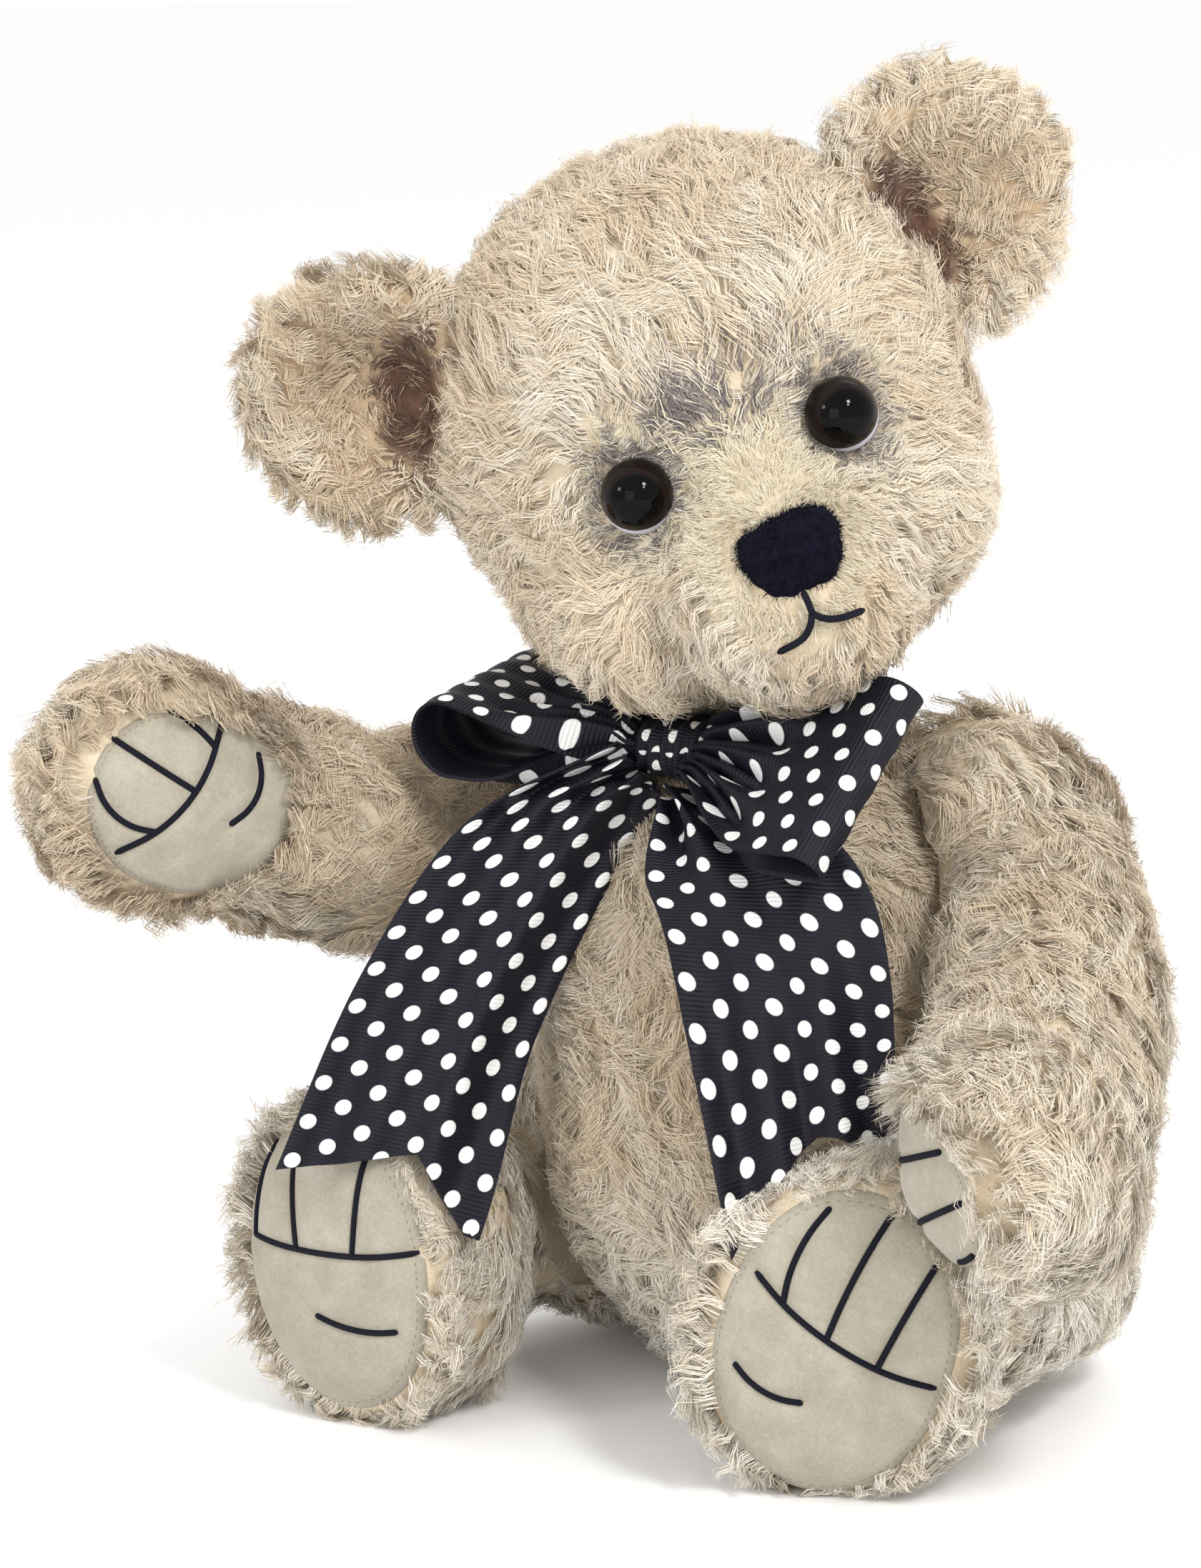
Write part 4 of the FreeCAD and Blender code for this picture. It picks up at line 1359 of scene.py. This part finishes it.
def hanging_end(centres, half_widths, start_u, notch, crease):
    """Tail of the bow: gathered at the knot, V cut at its free end."""
    c = spline(centres, 78)
    w = spline(half_widths, 78)
    share = np.linspace(0, 1, len(c))
    w = w * (1 + (TAIL_WIDEN - 1) * ease(share, 0.15, 0.4))[:, None]
    step = np.linalg.norm(np.diff(c, axis=0), axis=1)
    run = np.concatenate([[0], np.cumsum(step)])
    v = np.linspace(-1, 1, 49)
    at, depth, slant = notch
    cut = np.where(v < at, (v + 1) / (at + 1), (1 - v) / (1 - at))
    stop = run[-1] + slant * v - depth * cut
    rows = np.empty((len(c), len(v), 3))
    u = np.empty((len(c), len(v)))
    t = unit(np.gradient(c, axis=0))
    normal = unit(np.cross(t, w))
    half = np.linalg.norm(w, axis=1)
    for j, side in enumerate(v):
        target = run / run[-1] * stop[j]
        ripple = slack(half) / (2 * TAIL_PLEATS) * math.cos(
            math.pi * TAIL_PLEATS * (side + 1) / 2)
        soft = 1.7 * math.sin(1.6 * side + 0.4) * ease(share, 0.1, 0.5)
        fold = crease[1] * np.exp(-((side - crease[0]) / 0.05) ** 2) \
            * ease(share, 0.25, 0.5)
        roll = 1.8 * (side ** 4) * (1 - ease(share, 0.3, 0.8))
        past = max(0.0, side - crease[0])
        turned = crease[2] * ease(share, 0.22, 0.45) \
            * (1 - ease(share, 0.72, 1.0))
        sink = past * half * np.sqrt(1 - (1 - turned) ** 2)
        line = c + w * (side - past * turned)[:, None] \
            + normal * (ripple + soft - fold - roll - sink)[:, None]
        for k in range(3):
            rows[:, j, k] = np.interp(target, run, line[:, k])
        u[:, j] = target + start_u
    return rows, u, np.tile(v * RIBBON_W / 2, (len(c), 1))


def loop_rows(root, tip, width_way, width0, width1, height, pleats):
    """Loop of the bow: out to the tip over the top and back below."""
    root, tip = np.array(root, float), np.array(tip, float)
    x = unit(tip - root)
    length = np.linalg.norm(tip - root)
    w = np.array(width_way, float)
    w = unit(w - x * (w @ x))
    h = np.cross(x, w)
    r = height / 2
    cx = length - r
    lift = math.asin(r / cx)

    def leaf(k, swell, up):
        return (k * (cx - r * math.sin(lift)),
                up * k * r * math.cos(lift)
                * (1 + swell * math.sin(math.pi * k)))

    count = 40
    path = [leaf(k, 0.25, 1) for k in np.linspace(0, 1, count)[:-1]]
    for a in np.linspace(math.pi / 2 + lift, -math.pi / 2 - lift, count):
        path.append((cx + r * math.cos(a), r * math.sin(a)))
    path += [leaf(k, 0.15, -1) for k in np.linspace(1, 0, count)[1:]]
    path = np.array(path)
    run = np.concatenate([[0], np.cumsum(
        np.linalg.norm(np.diff(path, axis=0), axis=1))])
    v = np.linspace(-1, 1, 41)
    far = path[:, 0] / length
    half = (width0 + (width1 - width0) * ease(far, 0.0, 0.62)) / 2
    side_in = np.gradient(path, axis=0)
    out = np.stack([-side_in[:, 1], side_in[:, 0]], 1)
    out /= np.linalg.norm(out, axis=1, keepdims=True)
    rows = np.empty((len(path), len(v), 3))
    for j, side in enumerate(v):
        ripple = slack(half) / (2 * pleats) * math.cos(
            math.pi * pleats * side)
        ripple = ripple * np.clip((half * 2 - 6) / 6, 0.15, 1) \
            * (1 - 0.93 * ease(far, 0.25, 0.7))
        px = path[:, 0] + out[:, 0] * ripple
        ph = path[:, 1] + out[:, 1] * ripple
        rows[:, j] = root + px[:, None] * x + ph[:, None] * h \
            + (half * side)[:, None] * w
    u = np.tile(run[:, None], (1, len(v)))
    return rows, u, np.tile(v * RIBBON_W / 2, (len(path), 1)), run[-1]


def outward_rows(rows, u, v, inside):
    """Order the columns so that the dotted face looks away from inside."""
    normal = np.cross(np.gradient(rows, axis=0), np.gradient(rows, axis=1))
    if np.sum(normal * (rows - np.asarray(inside))) < 0:
        rows, u, v = rows[:, ::-1], u[:, ::-1], v[:, ::-1]
    return rows, u, v


def bow(knot_piece):
    rows, u, v, run = loop_rows((-5, -35, 128), (-50, -34, 134),
                                (0.12, 0.96, 0.13), 9, 33, 16, 5)
    rows, u, v = outward_rows(rows, u, v, rows.mean((0, 1)))
    band("bow_loop_right_ribbon", rows, u, v,
         replaces=["bow_loop_right"])
    rows, u, v, run = loop_rows((6, -36.5, 127), (50, -47, 127.5),
                                (-0.25, -0.66, -0.7), 10, 40, 9, 4)
    rows, u, v = outward_rows(rows, u, v, rows.mean((0, 1)))
    band("bow_loop_left_ribbon", rows, u + 3, v,
         replaces=["bow_loop_left"])
    far_behind = (-400, 800, 0)
    for name, centres, half_widths, notch, crease, start in (
            ("bow_tail_right",
             [(-5, -41, 126), (-17.5, -48, 117), (-31, -64, 86),
              (-42, -83, 46.0)],
             [(3.5, 0.5, -4.5), (15, 8, 0), (15.8, 10, -3),
              (15.2, 9.7, -5.9)], (0.17, 13.0, 3.0), (0.1, 0.5, 0.22),
             2.0),
            ("bow_tail_left",
             [(5, -41, 123), (23.0, -50, 113), (35, -56.5, 93),
              (48.5, -69, 53.5)],
             [(3.5, 0.5, 3.0), (17, 5, 3), (18.5, 6, -1),
              (7.5, 15.5, 6.5)], (0.1, 12.0, 0.0), (0.0, 0.5, 0.06),
             5.0)):
        rows, u, v = hanging_end(centres, half_widths, start, notch, crease)
        rows, u, v = outward_rows(rows, u, v, far_behind)
        band(name + "_ribbon", rows, u, v, replaces=[name])


def knot():
    """The ribbon's wrap round the bow's middle, creased along its length."""
    base = Place((0.5, -32.8, 128.75), np.eye(3))
    around = np.linspace(0, 2 * math.pi, 97)
    v = np.linspace(-1, 1, 41)
    rows = np.empty((len(around), len(v), 3))
    for j, side in enumerate(v):
        squeeze = 1 - 0.16 * abs(side) ** 3
        crimp = 0.42 * math.cos(5 * math.pi * side)
        ry = 7.4 * squeeze + crimp
        rz = 5.6 * squeeze + crimp
        grow_by = (np.abs(np.cos(around)) ** 2.6
                   + np.abs(np.sin(around)) ** 2.6) ** (-1 / 2.6)
        rows[:, j] = base.out(np.stack(
            [np.full(len(around), side * 7.6)
             + 0.5 * np.sin(2 * around),
             -ry * np.cos(around) * grow_by,
             rz * np.sin(around) * grow_by], 1))
    u = np.tile((around * 7.3)[:, None], (1, len(v)))
    rows, u, vv = outward_rows(rows, u, np.tile(
        v * RIBBON_W / 2 * KNOT_SHARE, (len(around), 1)), base.o)
    return band("bow_knot_ribbon", rows, u, vv, replaces=["bow_knot"])


def collar():
    """The ribbon round the neck, gathered into soft folds."""
    around = np.linspace(0, 2 * math.pi, 241)
    v = np.linspace(-1, 1, 41)
    rows = np.empty((len(around), len(v), 3))
    for j, side in enumerate(v):
        fold = 1.5 * np.cos(math.pi * 5 * side + 0.5 * np.sin(3 * around)) \
            * (1 + 0.2 * np.sin(7 * around))
        r = 24.6 + fold * 0.9 - 1.2 * side * side
        z = COLLAR_Z + side * (3.1 + 0.25 * np.sin(4 * around))
        rows[:, j] = np.stack([r * np.cos(around), r * np.sin(around), z], 1)
    u = np.tile((around * 25.0)[:, None], (1, len(v)))
    rows, u, vv = outward_rows(rows, u, np.tile(v * RIBBON_W / 2,
                                                (len(around), 1)),
                               (0, 0, COLLAR_Z))
    band("ribbon_collar_band", rows, u, vv, replaces=["ribbon_collar"])


bow(knot())
collar()


# ------------------------------------------------------- stage and lights
# name, place in metres, height it aims at, size, watts
LIGHTS = [("fill", (-0.65, -1.35, 0.8), 0.12, 0.25, 3.0),
          ("rim", (-0.3, 1.1, 1.2), 0.15, 0.9, 3.0),
          ("low", (0.3, -1.6, 0.35), 0.06, 0.8, 3.0),
          ("catch_high", (0.95, -0.5, 1.05), 0.2, 0.21, 8.0),
          ("catch_low", (1.0, -0.62, 0.85), 0.2, 0.12, 2.4)]


def area_light(name, spot, aim_z, size, watts):
    data = bpy.data.lights.new(name, "AREA")
    data.shape, data.size, data.energy = "SQUARE", size, watts
    obj = bpy.data.objects.new(name, data)
    scene.collection.objects.link(obj)
    obj.location = spot
    way = Vector((0, 0, aim_z)) - Vector(spot)
    obj.rotation_euler = way.to_track_quat("-Z", "Y").to_euler()


def studio():
    world = bpy.data.worlds.new("studio")
    world.use_nodes = True
    back = world.node_tree.nodes["Background"]
    back.inputs["Color"].default_value = (1, 1, 1, 1)
    back.inputs["Strength"].default_value = 1.0
    scene.world = world
    for light in LIGHTS:
        area_light(*light)
    floor_mat = material("floor", (0.97, 0.97, 0.97, 1), 0.9)
    far = 4000.0
    floor = mesh_object("floor", [(-far, -far, 0), (far, -far, 0),
                                  (far, far, 0), (-far, far, 0)],
                        [(0, 1, 2, 3)], [floor_mat], smooth=False)
    scene.view_settings.view_transform = "Standard"
    scene.view_settings.look = "None"


studio()
